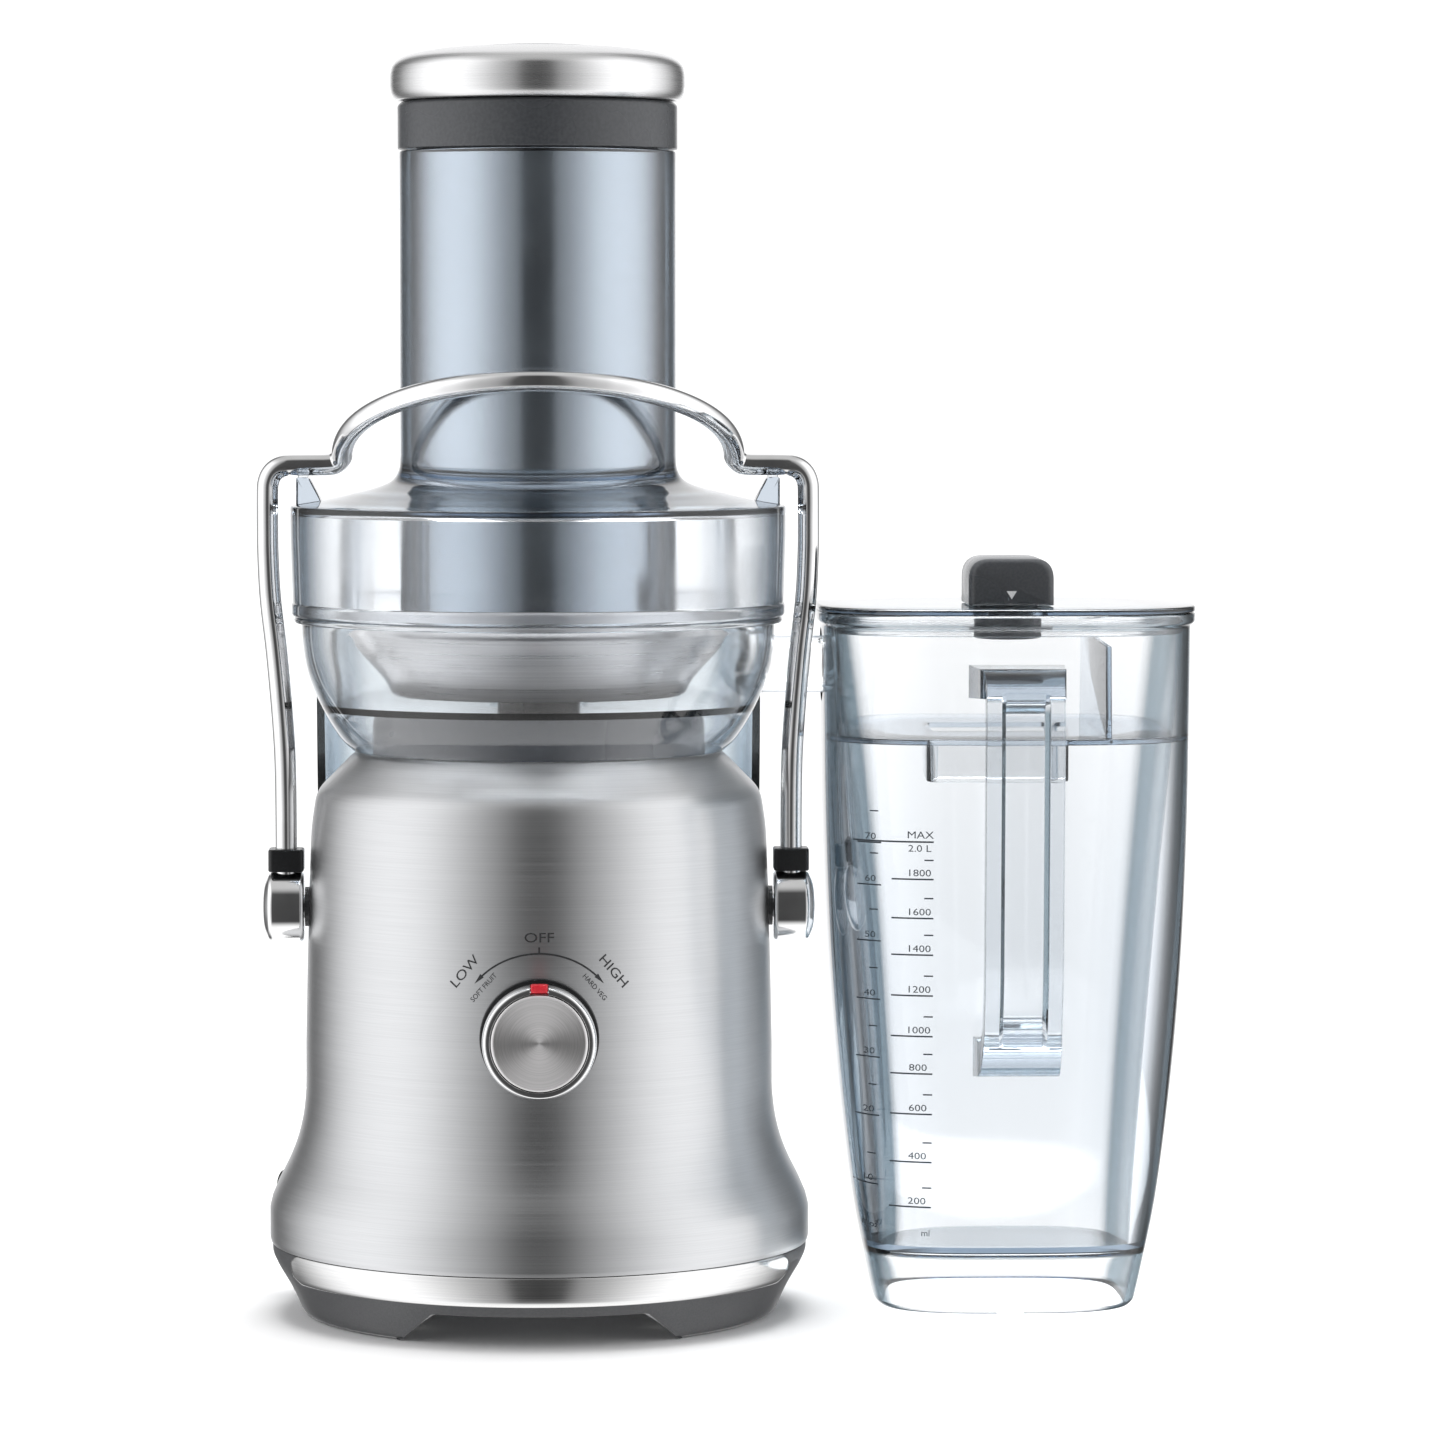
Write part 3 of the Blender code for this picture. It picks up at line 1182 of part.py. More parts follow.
def make_jug_lid(jug, look, plastic):
    low = JUG_HEIGHT + GAP
    skirt = low - LID_SKIRT
    inset = JUG_WALL + RUN
    wall = 1.8
    rings = [
        jug_ring(low, inset + wall),
        jug_ring(skirt, inset + wall),
        jug_ring(skirt, inset),
        jug_ring(low, inset),
        jug_ring(low, 0, JUG_RIM_LIP),
        [(x, y, LID_TOP) for x, y, _ in jug_ring(low, 0, JUG_RIM_LIP)],
    ]
    lid = placed("jug_lid", lofted(rings), look, jug)
    at = (0, -CLOSURE_FORWARD)
    cut(lid, prism(circle(CLOSURE_PLUG + RUN + GAP, MIDDLE_SIDES, at), low - DEEP, LID_TOP + DEEP))
    base = LID_TOP + GAP
    top = base + CLOSURE_HEIGHT
    half, round_over = CLOSURE_HALF_WIDTH, 5.0
    outline = [(-half, base), (half, base), (half, top - round_over)]
    for i in range(1, 4):
        turn = math.pi / 2 * i / 4
        outline.append((half - round_over * (1 - math.cos(turn)), top - round_over * (1 - math.sin(turn))))
    outline += [(half - round_over, top), (-half + round_over, top)]
    for i in range(1, 4):
        turn = math.pi / 2 * (1 - i / 4)
        outline.append((-half + round_over * (1 - math.cos(turn)), top - round_over * (1 - math.sin(turn))))
    outline.append((-half, top - round_over))
    knob = prism(outline, -CLOSURE_HALF_DEPTH, CLOSURE_HALF_DEPTH, "XZ")
    closure = placed("lid_closure", knob, plastic, jug, (0, -CLOSURE_FORWARD, 0))
    plug = [(0, skirt - 3.0), (CLOSURE_PLUG, skirt - 3.0), (CLOSURE_PLUG, base + 2.0), (0, base + 2.0)]
    add(closure, turned(plug, MIDDLE_SIDES))


def make_froth_separator(jug, look):
    low, high = SEPARATOR_HEIGHT, SEPARATOR_HEIGHT + SEPARATOR_WALL
    inset = JUG_WALL + 0.5
    plate = lofted([jug_ring(low, inset), [(x, y, high) for x, y, _ in jug_ring(low, inset)]])
    piece = placed("froth_separator", plate, look, jug)
    thick = SEPARATOR_WALL
    duct = block((-DUCT_LEFT, DUCT_RIGHT), (-DUCT_HALF_DEPTH, DUCT_HALF_DEPTH), (low - DUCT_DROP, low + 1.0))
    bore = block(
        (-DUCT_LEFT + thick, DUCT_RIGHT - thick),
        (-DUCT_HALF_DEPTH + thick, DUCT_HALF_DEPTH - thick),
        (low - DUCT_DROP - DEEP, high + DEEP),
    )
    depth = jug_half_width(low) * JUG_DEPTH_SHARE - inset - 9.0
    divider = block((DIVIDER_SIDE, DIVIDER_SIDE + thick), (-depth, depth), (low + 1.0, JUG_HEIGHT - 11.0))
    add(piece, duct)
    cut(piece, bore)
    add(piece, divider)


def build():
    for existing in list(bpy.data.objects):
        bpy.data.objects.remove(existing, do_unlink=True)

    brushed = material("brushed_steel", (0.46, 0.46, 0.47), 0.34, 1.0)
    polished = material("polished_steel", (0.75, 0.75, 0.76), 0.1, 1.0)
    chrome = material("chrome", (0.8, 0.8, 0.8), 0.05, 1.0)
    clear = material("clear_polycarbonate", (0.42, 0.52, 0.6), 0.05, 0.0, 0.35)
    grey = material("dark_grey_plastic", (0.05, 0.05, 0.052), 0.45)
    black = material("black_plastic", (0.012, 0.012, 0.013), 0.5)
    rubber = material("rubber", (0.02, 0.02, 0.02), 0.85)
    red = material("red_plastic", (0.5, 0.02, 0.02), 0.35)
    steel = material("steel", (0.5, 0.5, 0.52), 0.3, 1.0)
    cast = material("cast_aluminium", (0.45, 0.46, 0.47), 0.5, 1.0)
    copper = material("copper", (0.6, 0.25, 0.12), 0.4, 1.0)
    board = material("circuit_board", (0.02, 0.12, 0.05), 0.6)

    juicer = empty("juicer_axis", (AXIS_X, AXIS_Y, 0))
    pivot = empty("arm_pivot", (AXIS_X, AXIS_Y, PIVOT_HEIGHT))
    jug = empty("jug_axis", (AXIS_X + JUG_SIDE, AXIS_Y + SPOUT_BACK, 0))

    make_motor_housing(juicer, brushed)
    make_cord_gland(juicer, rubber)
    make_base_pan(juicer, grey)
    make_trim_band(juicer, polished)
    make_feet_and_screws(juicer, rubber, steel)
    make_motor_cradle(juicer, grey)
    make_stator(juicer, steel, copper)
    bearing_low = make_bearings(juicer, cast, steel)
    brush_low, brush_high = make_rotor(juicer, steel, copper, black, bearing_low)
    make_brushes(juicer, black, brush_low, brush_high)
    make_electrics(juicer, board, black)
    make_coupling_tower(juicer, grey, rubber)
    make_bowl(juicer, clear)
    make_spinning_parts(juicer, black, steel, steel)
    make_cover(juicer, clear)
    make_pusher(juicer, clear, grey, brushed)
    make_pulp_container(juicer, clear)
    make_locking_arm(pivot, chrome, black)
    make_pivots(juicer, pivot, steel, black)
    make_safety_switch(juicer, black, steel)
    make_dial(juicer, grey, polished, red)
    make_jug(jug, clear)
    make_jug_lid(jug, clear, grey)
    make_froth_separator(jug, clear)


build()
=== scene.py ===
# %% [markdown]
# # Centrifugal juicer
#
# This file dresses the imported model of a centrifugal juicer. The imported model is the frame: it
# says where every part is, and nothing here moves it. Each cell makes one part of the juicer as a
# surface worked out with numpy, or one finish as a small tree of shader nodes.
#
# All sizes in the cells are millimetres. Heights are above the worktop, and sideways places are
# about the juicer's upright axis, or about the jug's for the parts of the jug.

# %% Load the frame
import math

import bmesh
import bpy
import numpy as np
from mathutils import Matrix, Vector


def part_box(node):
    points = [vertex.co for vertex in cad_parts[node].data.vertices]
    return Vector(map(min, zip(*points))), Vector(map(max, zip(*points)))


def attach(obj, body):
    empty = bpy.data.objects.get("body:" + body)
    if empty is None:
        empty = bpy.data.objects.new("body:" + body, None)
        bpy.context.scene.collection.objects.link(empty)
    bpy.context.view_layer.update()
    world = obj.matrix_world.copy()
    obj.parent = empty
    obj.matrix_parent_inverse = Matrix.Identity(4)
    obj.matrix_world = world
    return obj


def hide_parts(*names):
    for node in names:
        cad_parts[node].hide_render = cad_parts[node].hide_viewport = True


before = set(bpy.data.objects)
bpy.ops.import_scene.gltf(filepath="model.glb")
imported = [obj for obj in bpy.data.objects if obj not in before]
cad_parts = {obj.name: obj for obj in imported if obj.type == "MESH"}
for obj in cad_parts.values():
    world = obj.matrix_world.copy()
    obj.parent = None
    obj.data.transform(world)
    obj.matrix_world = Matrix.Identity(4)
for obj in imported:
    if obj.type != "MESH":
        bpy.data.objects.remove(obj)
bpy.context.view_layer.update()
print("nodes in the frame:", len(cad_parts))

# %% [markdown]
# ## Where things are
#
# A round part's box has its axis in the middle. The housing gives the juicer's axis, the jug's lid
# gives the jug's, and an arm hub gives the height that the locking arm turns about.

# %% Axes read from the frame
MM = 0.001


def middle(node):
    """The middle of a node's box, in metres."""
    low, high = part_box(node)
    return np.array((low + high) / 2)


def upright(node):
    """The foot of the upright axis through a node's middle."""
    x, y, _ = middle(node)
    return np.array([x, y, 0.0])


JUICER = upright("motor_housing")
JUG = upright("jug_lid")
PIVOT = np.array([JUICER[0], JUICER[1], middle("arm_hub_left")[2]])
DIAL = np.array([JUICER[0], JUICER[1], middle("dial_face")[2]])
CLOSURE = upright("lid_closure")
PIVOT_HEIGHT = PIVOT[2] / MM
DIAL_HEIGHT = DIAL[2] / MM
print("juicer axis", JUICER.round(4), "jug axis", JUG.round(4), "pivot height", round(PIVOT_HEIGHT, 1))

# %% [markdown]
# ## Lines
#
# Most parts of a juicer are turned: one line, its profile, spun round an axis. Moulded and pressed
# parts have no knife edges, so every corner of a profile is rounded with a short curve. Free
# shapes, such as the flare of the housing, are drawn as a smooth curve through a few points.


# %% Rounded and smooth lines
def rounded(points, radius, steps=4, closed=True):
    """Cuts each corner back by the radius, or by less on a short side, and bridges it with the
    curve (1-t)^2 A + 2t(1-t) P + t^2 B from A over the corner P to B."""
    p = np.asarray(points, float)
    to_last, to_next = np.roll(p, 1, axis=0) - p, np.roll(p, -1, axis=0) - p
    last = np.linalg.norm(to_last, axis=1)[:, None]
    following = np.linalg.norm(to_next, axis=1)[:, None]
    wish = np.broadcast_to(np.asarray(radius, float), len(p))[:, None]
    reach = np.minimum(wish, 0.45 * np.minimum(last, following))
    a = (p + to_last / last * reach)[:, None]
    b = (p + to_next / following * reach)[:, None]
    t = np.linspace(0, 1, steps + 1)[None, :, None]
    curve = ((1 - t) ** 2 * a + 2 * t * (1 - t) * p[:, None] + t**2 * b).reshape(-1, p.shape[1])
    if closed:
        return curve
    return np.concatenate([p[:1], curve[steps + 1 : -(steps + 1)], p[-1:]])


def smooth(points, steps=8):
    """A curve through the points whose slope at each is half the way from the one before to the
    one after (Catmull-Rom)."""
    p = np.asarray(points, float)
    p = np.concatenate([2 * p[:1] - p[1:2], p, 2 * p[-1:] - p[-2:-1]])
    p0, p1, p2, p3 = p[:-3, None], p[1:-2, None], p[2:-1, None], p[3:, None]
    t = np.linspace(0, 1, steps, endpoint=False)[None, :, None]
    curve = 2 * p1 + (p2 - p0) * t + (2 * p0 - 5 * p1 + 4 * p2 - p3) * t**2
    curve = 0.5 * (curve + (3 * p1 - p0 - 3 * p2 + p3) * t**3)
    return np.concatenate([curve.reshape(-1, p.shape[1]), p[-2:-1]])


def dense(points, step, closed=False):
    """The same line with extra points, so that no two are further apart than about one step."""
    p = np.asarray(points, float)
    if closed:
        p = np.concatenate([p, p[:1]])
    along = np.concatenate([[0], np.cumsum(np.linalg.norm(np.diff(p, axis=0), axis=1))])
    marks = np.unique(np.concatenate([along, np.linspace(0, along[-1], int(along[-1] / step) + 2)]))
    line = np.stack([np.interp(marks, along, p[:, k]) for k in range(p.shape[1])], axis=1)
    return line[:-1] if closed else line


# %% [markdown]
# ## Grids
#
# A surface is a grid of points, rows by columns. A turned part has one row for each point of its
# profile and one column for each angle. A loft has one row for each section. Where the ends of a
# solid have to be shut, a last row with every point at the section's middle closes it.


# %% Grids of points
def turned(profile, sides=128, axis="Z"):
    """Row i, column j is at (r cos a, r sin a, h), with (r, h) the profile's point i and a the
    angle j. Axis X lays h along +X, and axis FRONT lays it towards -Y."""
    r, h = np.asarray(profile, float).T[:, :, None]
    a = np.linspace(0, 2 * math.pi, sides, endpoint=False)[None, :]
    c, s, h = r * np.cos(a), r * np.sin(a), np.broadcast_to(h, (len(r), sides))
    return {
        "Z": np.stack([c, s, h], axis=-1),
        "X": np.stack([h, c, s], axis=-1),
        "FRONT": np.stack([c, -h, s], axis=-1),
    }[axis]


def capped(grid):
    """Adds a row at each end with every point at that end's middle, which shuts the solid."""
    first = np.broadcast_to(grid[0].mean(axis=0), grid[0].shape)
    last = np.broadcast_to(grid[-1].mean(axis=0), grid[-1].shape)
    return np.concatenate([first[None], grid, last[None]])


def pillow(half_u, half_v, low, high, corner, edge, steps=5):
    """A block with rounded upright corners and rounded top and bottom edges: an outline whose
    inset follows a quarter circle over the last few millimetres at each end."""
    t = np.linspace(0, math.pi / 2, steps)
    inset = np.concatenate([edge * (1 - np.sin(t)), edge * (1 - np.cos(t))])
    height = np.concatenate([low + edge * (1 - np.cos(t)), high - edge * (1 - np.sin(t))])
    square = np.array([(1, 1), (-1, 1), (-1, -1), (1, -1)], float)
    base = rounded(square * (half_u, half_v), corner, 6)
    size = np.array([half_u, half_v])
    shrink = (size[None, :] - inset[:, None]) / size
    rows = base[None] * shrink[:, None, :]
    return capped(np.concatenate([rows, np.broadcast_to(height[:, None, None], (*rows.shape[:2], 1))], -1))


# %% [markdown]
# ## From a grid to a piece
#
# Each cell of a grid becomes one face. Points that fall on the same place, at a pole or a seam, are
# merged, and the faces are then made to point outwards. The finished object sits at the origin and
# its place is in its mesh, as for the nodes of the frame.


# %% Faces, solids and pieces
def linked(name, data):
    """A new object in the scene."""
    made = bpy.data.objects.new(name, data)
    bpy.context.scene.collection.objects.link(made)
    return made


def merged(name, points, faces, distance):
    """One object, with points closer than the distance merged and faces made to point outwards."""
    mesh = bpy.data.meshes.new(name)
    mesh.from_pydata(points, [], faces)
    bm = bmesh.new()
    bm.from_mesh(mesh)
    bmesh.ops.remove_doubles(bm, verts=bm.verts, dist=distance)
    bmesh.ops.recalc_face_normals(bm, faces=bm.faces)
    bm.to_mesh(mesh)
    bm.free()
    return linked(name, mesh)


def grid_faces(rows, columns, wrap_rows):
    """The four corners of every cell. Columns always close into a ring, and rows if asked."""
    i, j = np.meshgrid(np.arange(rows if wrap_rows else rows - 1), np.arange(columns), indexing="ij")
    below, beside = (i + 1) % rows, (j + 1) % columns
    corners = [i * columns + j, i * columns + beside, below * columns + beside, below * columns + j]
    return np.stack(corners, axis=-1).reshape(-1, 4)


def solid(name, origin, *grids, wrap=False):
    """One object from one or more grids in millimetres, put at an origin in metres."""
    points, faces, start = [], [], 0
    for grid in grids:
        rows, columns = grid.shape[:2]
        points.append(grid.reshape(-1, 3) * MM + origin)
        faces.append(grid_faces(rows, columns, wrap) + start)
        start += rows * columns
    return merged(name, np.concatenate(points), np.concatenate(faces).tolist(), 2e-6)


def carve(piece, tool, operation="DIFFERENCE"):
    """Cuts one solid from another, or joins it on, and removes the tool."""
    change = piece.modifiers.new("carve", "BOOLEAN")
    change.operation, change.solver, change.object = operation, "EXACT", tool
    seen = piece.evaluated_get(bpy.context.evaluated_depsgraph_get())
    piece.data = bpy.data.meshes.new_from_object(seen)
    piece.modifiers.clear()
    bpy.data.objects.remove(tool)
    return piece


def piece(made, look, body, *nodes, slot=None, sharp=40):
    """Gives a solid its finish and its body, and hides the frame's nodes that it stands for."""
    made.data.materials.clear()
    made.data.materials.append(look)
    made.data.polygons.foreach_set("material_index", np.zeros(len(made.data.polygons), np.int32))
    made.data.shade_smooth()
    made.data.set_sharp_from_angle(angle=math.radians(sharp))
    # Lamplight passes through the clear pieces, apart from the pusher.
    made.visible_shadow = body == "pusher" or not look.name.startswith("polycarbonate")
    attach(made, body)
    if nodes:
        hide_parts(*nodes)
    size = np.array([v.co for v in made.data.vertices])
    print(f"{made.name}: {len(made.data.polygons)} faces, top {size[:, 2].max() / MM:.1f} mm")
    return made


# %% [markdown]
# ## Nodes and colours
#
# A finish is a tree of shader nodes. One function adds a node: its settings by name, and its inputs
# as plain values or as the outputs that feed them. Colours are written as on a screen and turned to
# the linear values that a shader works in.


# %% Colours and the one function that adds a node
def colour(code):
    """Screen value c of 0 to 1 becomes c / 12.92 below 0.04045, or else ((c + 0.055) / 1.055)^2.4."""
    c = np.array([int(code[i : i + 2], 16) / 255 for i in (1, 3, 5)])
    return (*np.where(c <= 0.04045, c / 12.92, ((c + 0.055) / 1.055) ** 2.4), 1.0)


def add(tree, kind, feeds=None, **settings):
    """Adds one node. Settings are its own properties, and feeds gives its inputs."""
    made = tree.nodes.new(kind)
    for name, value in settings.items():
        setattr(made, name, value)
    for name, value in (feeds or {}).items():
        if isinstance(value, bpy.types.NodeSocket):
            tree.links.new(value, made.inputs[name])
        else:
            made.inputs[name].default_value = value
    return made


def material(name, **sockets):
    """A new material with one Principled shader, and its tree and shader for further nodes."""
    made = bpy.data.materials.new(name)
    made.use_nodes = True
    tree = made.node_tree
    shader = tree.nodes["Principled BSDF"]
    for socket, value in sockets.items():
        shader.inputs[socket.replace("_", " ")].default_value = value
    return made, tree, shader


def spread(tree, value, low, high):
    """Stretches a noise value, which mostly lies between 0.3 and 0.7, over low to high, and eases it
    at both ends."""
    feeds = {"Value": value, "From Min": 0.3, "From Max": 0.7, "To Min": low, "To Max": high}
    return add(tree, "ShaderNodeMapRange", feeds, interpolation_type="SMOOTHSTEP").outputs["Result"]


def tinted(tree, value, first, second):
    """A colour between two screen colours, by a value of 0 to 1."""
    mix = add(tree, "ShaderNodeMix", {"Factor": value}, data_type="RGBA")
    mix.inputs[6].default_value, mix.inputs[7].default_value = colour(first), colour(second)
    return mix.outputs[2]


def bumped(tree, shader, value, depth, strength=1.0):
    """Feeds the shader a bump whose full height is depth, in millimetres."""
    feeds = {"Height": value, "Distance": depth * MM, "Strength": strength}
    tree.links.new(add(tree, "ShaderNodeBump", feeds).outputs["Normal"], shader.inputs["Normal"])

# %% [markdown]
# ## Stainless steel
#
# The housing is spun and then brushed round, which leaves fine lines round the axis. They spread a
# reflection up and down, so that soft lights show as tall bands. The pattern reads how far a point
# is from the axis and how high it is, so the lines run round on the wall, the shoulder and the top
# alike. Real brush lines are about 0.1 mm apart, and they are drawn 0.4 mm apart so that they show.


# %% Turned steel
def ring_grain(tree, origin, line, length, axis="Z"):
    """Noise that changes over one line width across the grain and over one length along it."""
    place = add(tree, "ShaderNodeTexCoord").outputs["Object"]
    place = add(tree, "ShaderNodeVectorMath", {0: place, 1: tuple(origin)}, operation="SUBTRACT")
    xyz = add(tree, "ShaderNodeSeparateXYZ", {0: place.outputs[0]}).outputs
    across = {"Z": ("X", "Y", "Z"), "X": ("Y", "Z", "X"), "FRONT": ("X", "Z", "Y")}[axis]
    flat = add(tree, "ShaderNodeCombineXYZ", {0: xyz[across[0]], 1: xyz[across[1]]})
    far = add(tree, "ShaderNodeVectorMath", {0: flat.outputs[0]}, operation="LENGTH")
    grain = add(tree, "ShaderNodeMath", {0: far.outputs["Value"], 1: 1 / line}, operation="MULTIPLY")
    level = add(tree, "ShaderNodeMath", {0: xyz[across[2]], 1: 1 / line}, operation="MULTIPLY")
    along = add(tree, "ShaderNodeMath", {0: xyz[across[1]], 1: 1 / length}, operation="MULTIPLY")
    feeds = {0: grain.outputs[0], 1: level.outputs[0], 2: along.outputs[0]}
    vector = add(tree, "ShaderNodeCombineXYZ", feeds).outputs[0]
    feeds = {"Vector": vector, "Scale": 1.0, "Detail": 3.0, "Roughness": 0.6}
    return add(tree, "ShaderNodeTexNoise", feeds).outputs["Fac"]


def steel(
    name, origin, light, dark, roughness, line=0.4, length=25.0,
    axis="Z", depth=0.001, stretch=0.0, quarter=0.25,
):
    """Brushed stainless steel: colour, roughness and a shallow bump all follow the grain. Stretch
    draws each reflection out, by a tangent that runs round the part's axis. Quarter turns that
    tangent: 0.25 suits lines that run round the axis, and 0 lines that run out from it."""
    made, tree, shader = material(name, Metallic=1.0, Anisotropic=stretch, Anisotropic_Rotation=quarter)
    grain = ring_grain(tree, origin, line * MM, length * MM, axis)
    tree.links.new(tinted(tree, spread(tree, grain, 0.0, 1.0), dark, light), shader.inputs["Base Color"])
    rough = spread(tree, grain, roughness - 0.03, roughness + 0.03)
    tree.links.new(rough, shader.inputs["Roughness"])
    if stretch:
        round_axis = "Y" if axis == "FRONT" else axis
        tangent = add(tree, "ShaderNodeTangent", direction_type="RADIAL", axis=round_axis)
        tree.links.new(tangent.outputs[0], shader.inputs["Tangent"])
    bumped(tree, shader, grain, depth)
    return made


brushed_body = steel(
    "stainless_steel_brushed_round", JUICER, "#c9cacb", "#c1c2c3", 0.36, depth=0.0008, stretch=0.6
)
brushed_cap = steel(
    "stainless_steel_cap_brushed_round", JUICER, "#e2e2e2", "#d9d9d9", 0.27, 0.3, stretch=0.75
)
polished_band = steel("stainless_steel_band_polished", JUICER, "#dededd", "#d6d6d6", 0.13, 0.6)
sieve_steel = steel("stainless_steel_sieve", JUICER, "#d3d5d8", "#c2c4c8", 0.3, 0.9, depth=0.002, stretch=0.5)
blade_steel = steel("stainless_steel_blade_ground", JUICER, "#c6c7c9", "#aeafb2", 0.3, 0.5, depth=0.003)

# %% [markdown]
# The dial's face has a fine grain of rings about its centre, and it spreads each light into a soft
# fan. The shader's anisotropy does that. Its tangent runs round the dial's axis without the quarter
# turn of the other steels, so it acts like very fine lines that run out from the centre.

# %% Dial face
spun_face = steel(
    "stainless_steel_dial_face_spun", DIAL, "#eceaea", "#dcdbda", 0.42, 0.35, 8.0, "FRONT", 0.0004, 1.0, 0.0
)

# %% [markdown]
# Chrome plate is the brightest metal on the juicer: almost white, and smooth enough to mirror. What
# keeps it from looking computed is the faint unevenness of the polished metal under the plating.


# %% Chrome plate
def polished(name, light, dark, roughness, wave, depth):
    """A mirror-like metal, uneven over one wave length in millimetres."""
    made, tree, shader = material(name, Metallic=1.0)
    place = add(tree, "ShaderNodeTexCoord").outputs["Object"]
    feeds = {"Vector": place, "Scale": 1 / (wave * MM), "Detail": 2.0}
    noise = add(tree, "ShaderNodeTexNoise", feeds).outputs["Fac"]
    tree.links.new(tinted(tree, spread(tree, noise, 0.0, 1.0), dark, light), shader.inputs["Base Color"])
    tree.links.new(spread(tree, noise, roughness, roughness + 0.05), shader.inputs["Roughness"])
    bumped(tree, shader, noise, depth)
    return made


chrome = polished("chrome_plate_polished", "#efefef", "#e4e4e4", 0.05, 14.0, 0.02)

# %% [markdown]
# ## Clear plastic
#
# The bowl, the cover and the jug are moulded polycarbonate with a blue-grey tint. The tint is in the
# plastic itself: light that crosses a wall loses little, and light that runs along a wall loses much,
# so faces look almost clear and edges look navy. Volume absorption does that, and a painted shade in
# the colour, darker where a wall is seen along its face, deepens the edges further. The surface has a
# faint wave from the mould.


# %% Tinted polycarbonate
def clear_plastic(
    name, tint, density, surface="#ffffff", edge="#5d6c78",
    roughness=0.03, wave=30.0, reach=(0.3, 0.85), **sockets
):
    """Glass-like plastic whose inside absorbs (1 - tint) x density of the light per metre. Its colour
    goes from surface to edge as the facing value goes over the reach: painted edge shade, darker where
    the wall is seen along its face, in place of the dark edges that bent and absorbed light give a wall."""
    made, tree, shader = material(name, Transmission_Weight=1.0, IOR=1.55, **sockets)
    # Painted edge shade: the colour darkens from surface to edge as the wall is seen more along its face.
    along = add(tree, "ShaderNodeLayerWeight", {"Blend": 0.5}).outputs["Facing"]
    feeds = {"Value": along, "From Min": reach[0], "From Max": reach[1]}
    painted_edge_shade = add(tree, "ShaderNodeMapRange", feeds, interpolation_type="SMOOTHSTEP").outputs["Result"]
    tree.links.new(tinted(tree, painted_edge_shade, surface, edge), shader.inputs["Base Color"])
    place = add(tree, "ShaderNodeTexCoord").outputs["Object"]
    feeds = {"Vector": place, "Scale": 1 / (wave * MM), "Detail": 1.0}
    noise = add(tree, "ShaderNodeTexNoise", feeds).outputs["Fac"]
    tree.links.new(spread(tree, noise, roughness * 0.6, roughness * 1.4), shader.inputs["Roughness"])
    bumped(tree, shader, noise, 0.008)
    inside = {"Color": colour(tint), "Density": density}
    soak = add(tree, "ShaderNodeVolumeAbsorption", inside)
    tree.links.new(soak.outputs[0], tree.nodes["Material Output"].inputs["Volume"])
    return made


# Each edge colour below is painted edge shade, not a colour of the plastic.
clear_cover = clear_plastic(
    "polycarbonate_cover_moulded", "#5c8fb4", 34.0, edge="#70818f", roughness=0.08, reach=(0.4, 0.8)
)
clear_bowl = clear_plastic(
    "polycarbonate_bowl_moulded", "#6c9cbc", 4.0, edge="#8b9dac", roughness=0.05, reach=(0.4, 0.85)
)
clear_jug = clear_plastic("polycarbonate_jug_moulded", "#5c90b2", 16.0, edge="#4d606b", reach=(0.3, 0.6))
clear_insert = clear_plastic("polycarbonate_separator_moulded", "#6f9fbe", 12.0, edge="#8fa2b3")
clear_bin = clear_plastic("polycarbonate_pulp_bin_moulded", "#6c9cbc", 12.0, "#f2f6f8", "#8396a8")
smoked = clear_plastic(
    "polycarbonate_pusher_smoked", "#8497a8", 40.0, "#bcc6cf", "#8994a0", 0.12, 40.0, Metallic=0.85
)

# %% [markdown]
# ## Solid plastics and rubber
#
# The base pan, the tower under the bowl and the small dark parts are moulded ABS. The mould has a
# fine spark-eroded texture of about 0.3 mm, which is drawn at 0.6 mm. Handling polishes it in soft
# patches, so the gloss drifts slowly over the surface. Rubber is the same idea, darker and duller.


# %% Moulded plastics and rubber
def moulded(name, light, dark, roughness, grain=0.6, depth=0.02, **sockets):
    """A matt moulding: a fine even texture with a slow drift in its gloss."""
    made, tree, shader = material(name, **sockets)
    place = add(tree, "ShaderNodeTexCoord").outputs["Object"]
    feeds = {"Vector": place, "Scale": 1 / (grain * MM), "Detail": 2.0}
    fine = add(tree, "ShaderNodeTexNoise", feeds).outputs["Fac"]
    drift = add(tree, "ShaderNodeTexNoise", {"Vector": place, "Scale": 1 / (35 * MM)}).outputs["Fac"]
    tree.links.new(tinted(tree, spread(tree, fine, 0.0, 1.0), dark, light), shader.inputs["Base Color"])
    tree.links.new(spread(tree, drift, roughness - 0.07, roughness + 0.07), shader.inputs["Roughness"])
    bumped(tree, shader, fine, depth)
    return made


grey_abs = moulded("abs_dark_grey_moulded", "#47484a", "#3d3e40", 0.4)
collar_abs = moulded("abs_collar_satin", "#46484b", "#3f4144", 0.26, 1.2, 0.006)
seat_abs = moulded("abs_seat_grey_satin", "#54585e", "#4a4e54", 0.3, 0.8, 0.006)
black_abs = moulded("abs_black_moulded", "#1d1e20", "#151617", 0.3, 0.6, 0.008)
closure_abs = moulded("abs_closure_satin", "#515356", "#494b4e", 0.28, 0.9, 0.006)
red_abs = moulded("abs_red_moulded", "#d8303c", "#c4222f", 0.35, 0.7, 0.01)
black_rubber = moulded("rubber_black_moulded", "#202122", "#171818", 0.7, 0.8, 0.03)
black_ink = moulded("ink_black_printed", "#2c2d2f", "#232426", 0.55, 0.4, 0.002)
grey_ink = moulded("ink_slate_printed", "#3b434b", "#31383f", 0.5, 0.4, 0.002)
white_ink = moulded("ink_white_printed", "#f2f2f2", "#e4e4e4", 0.5, 0.4, 0.002)

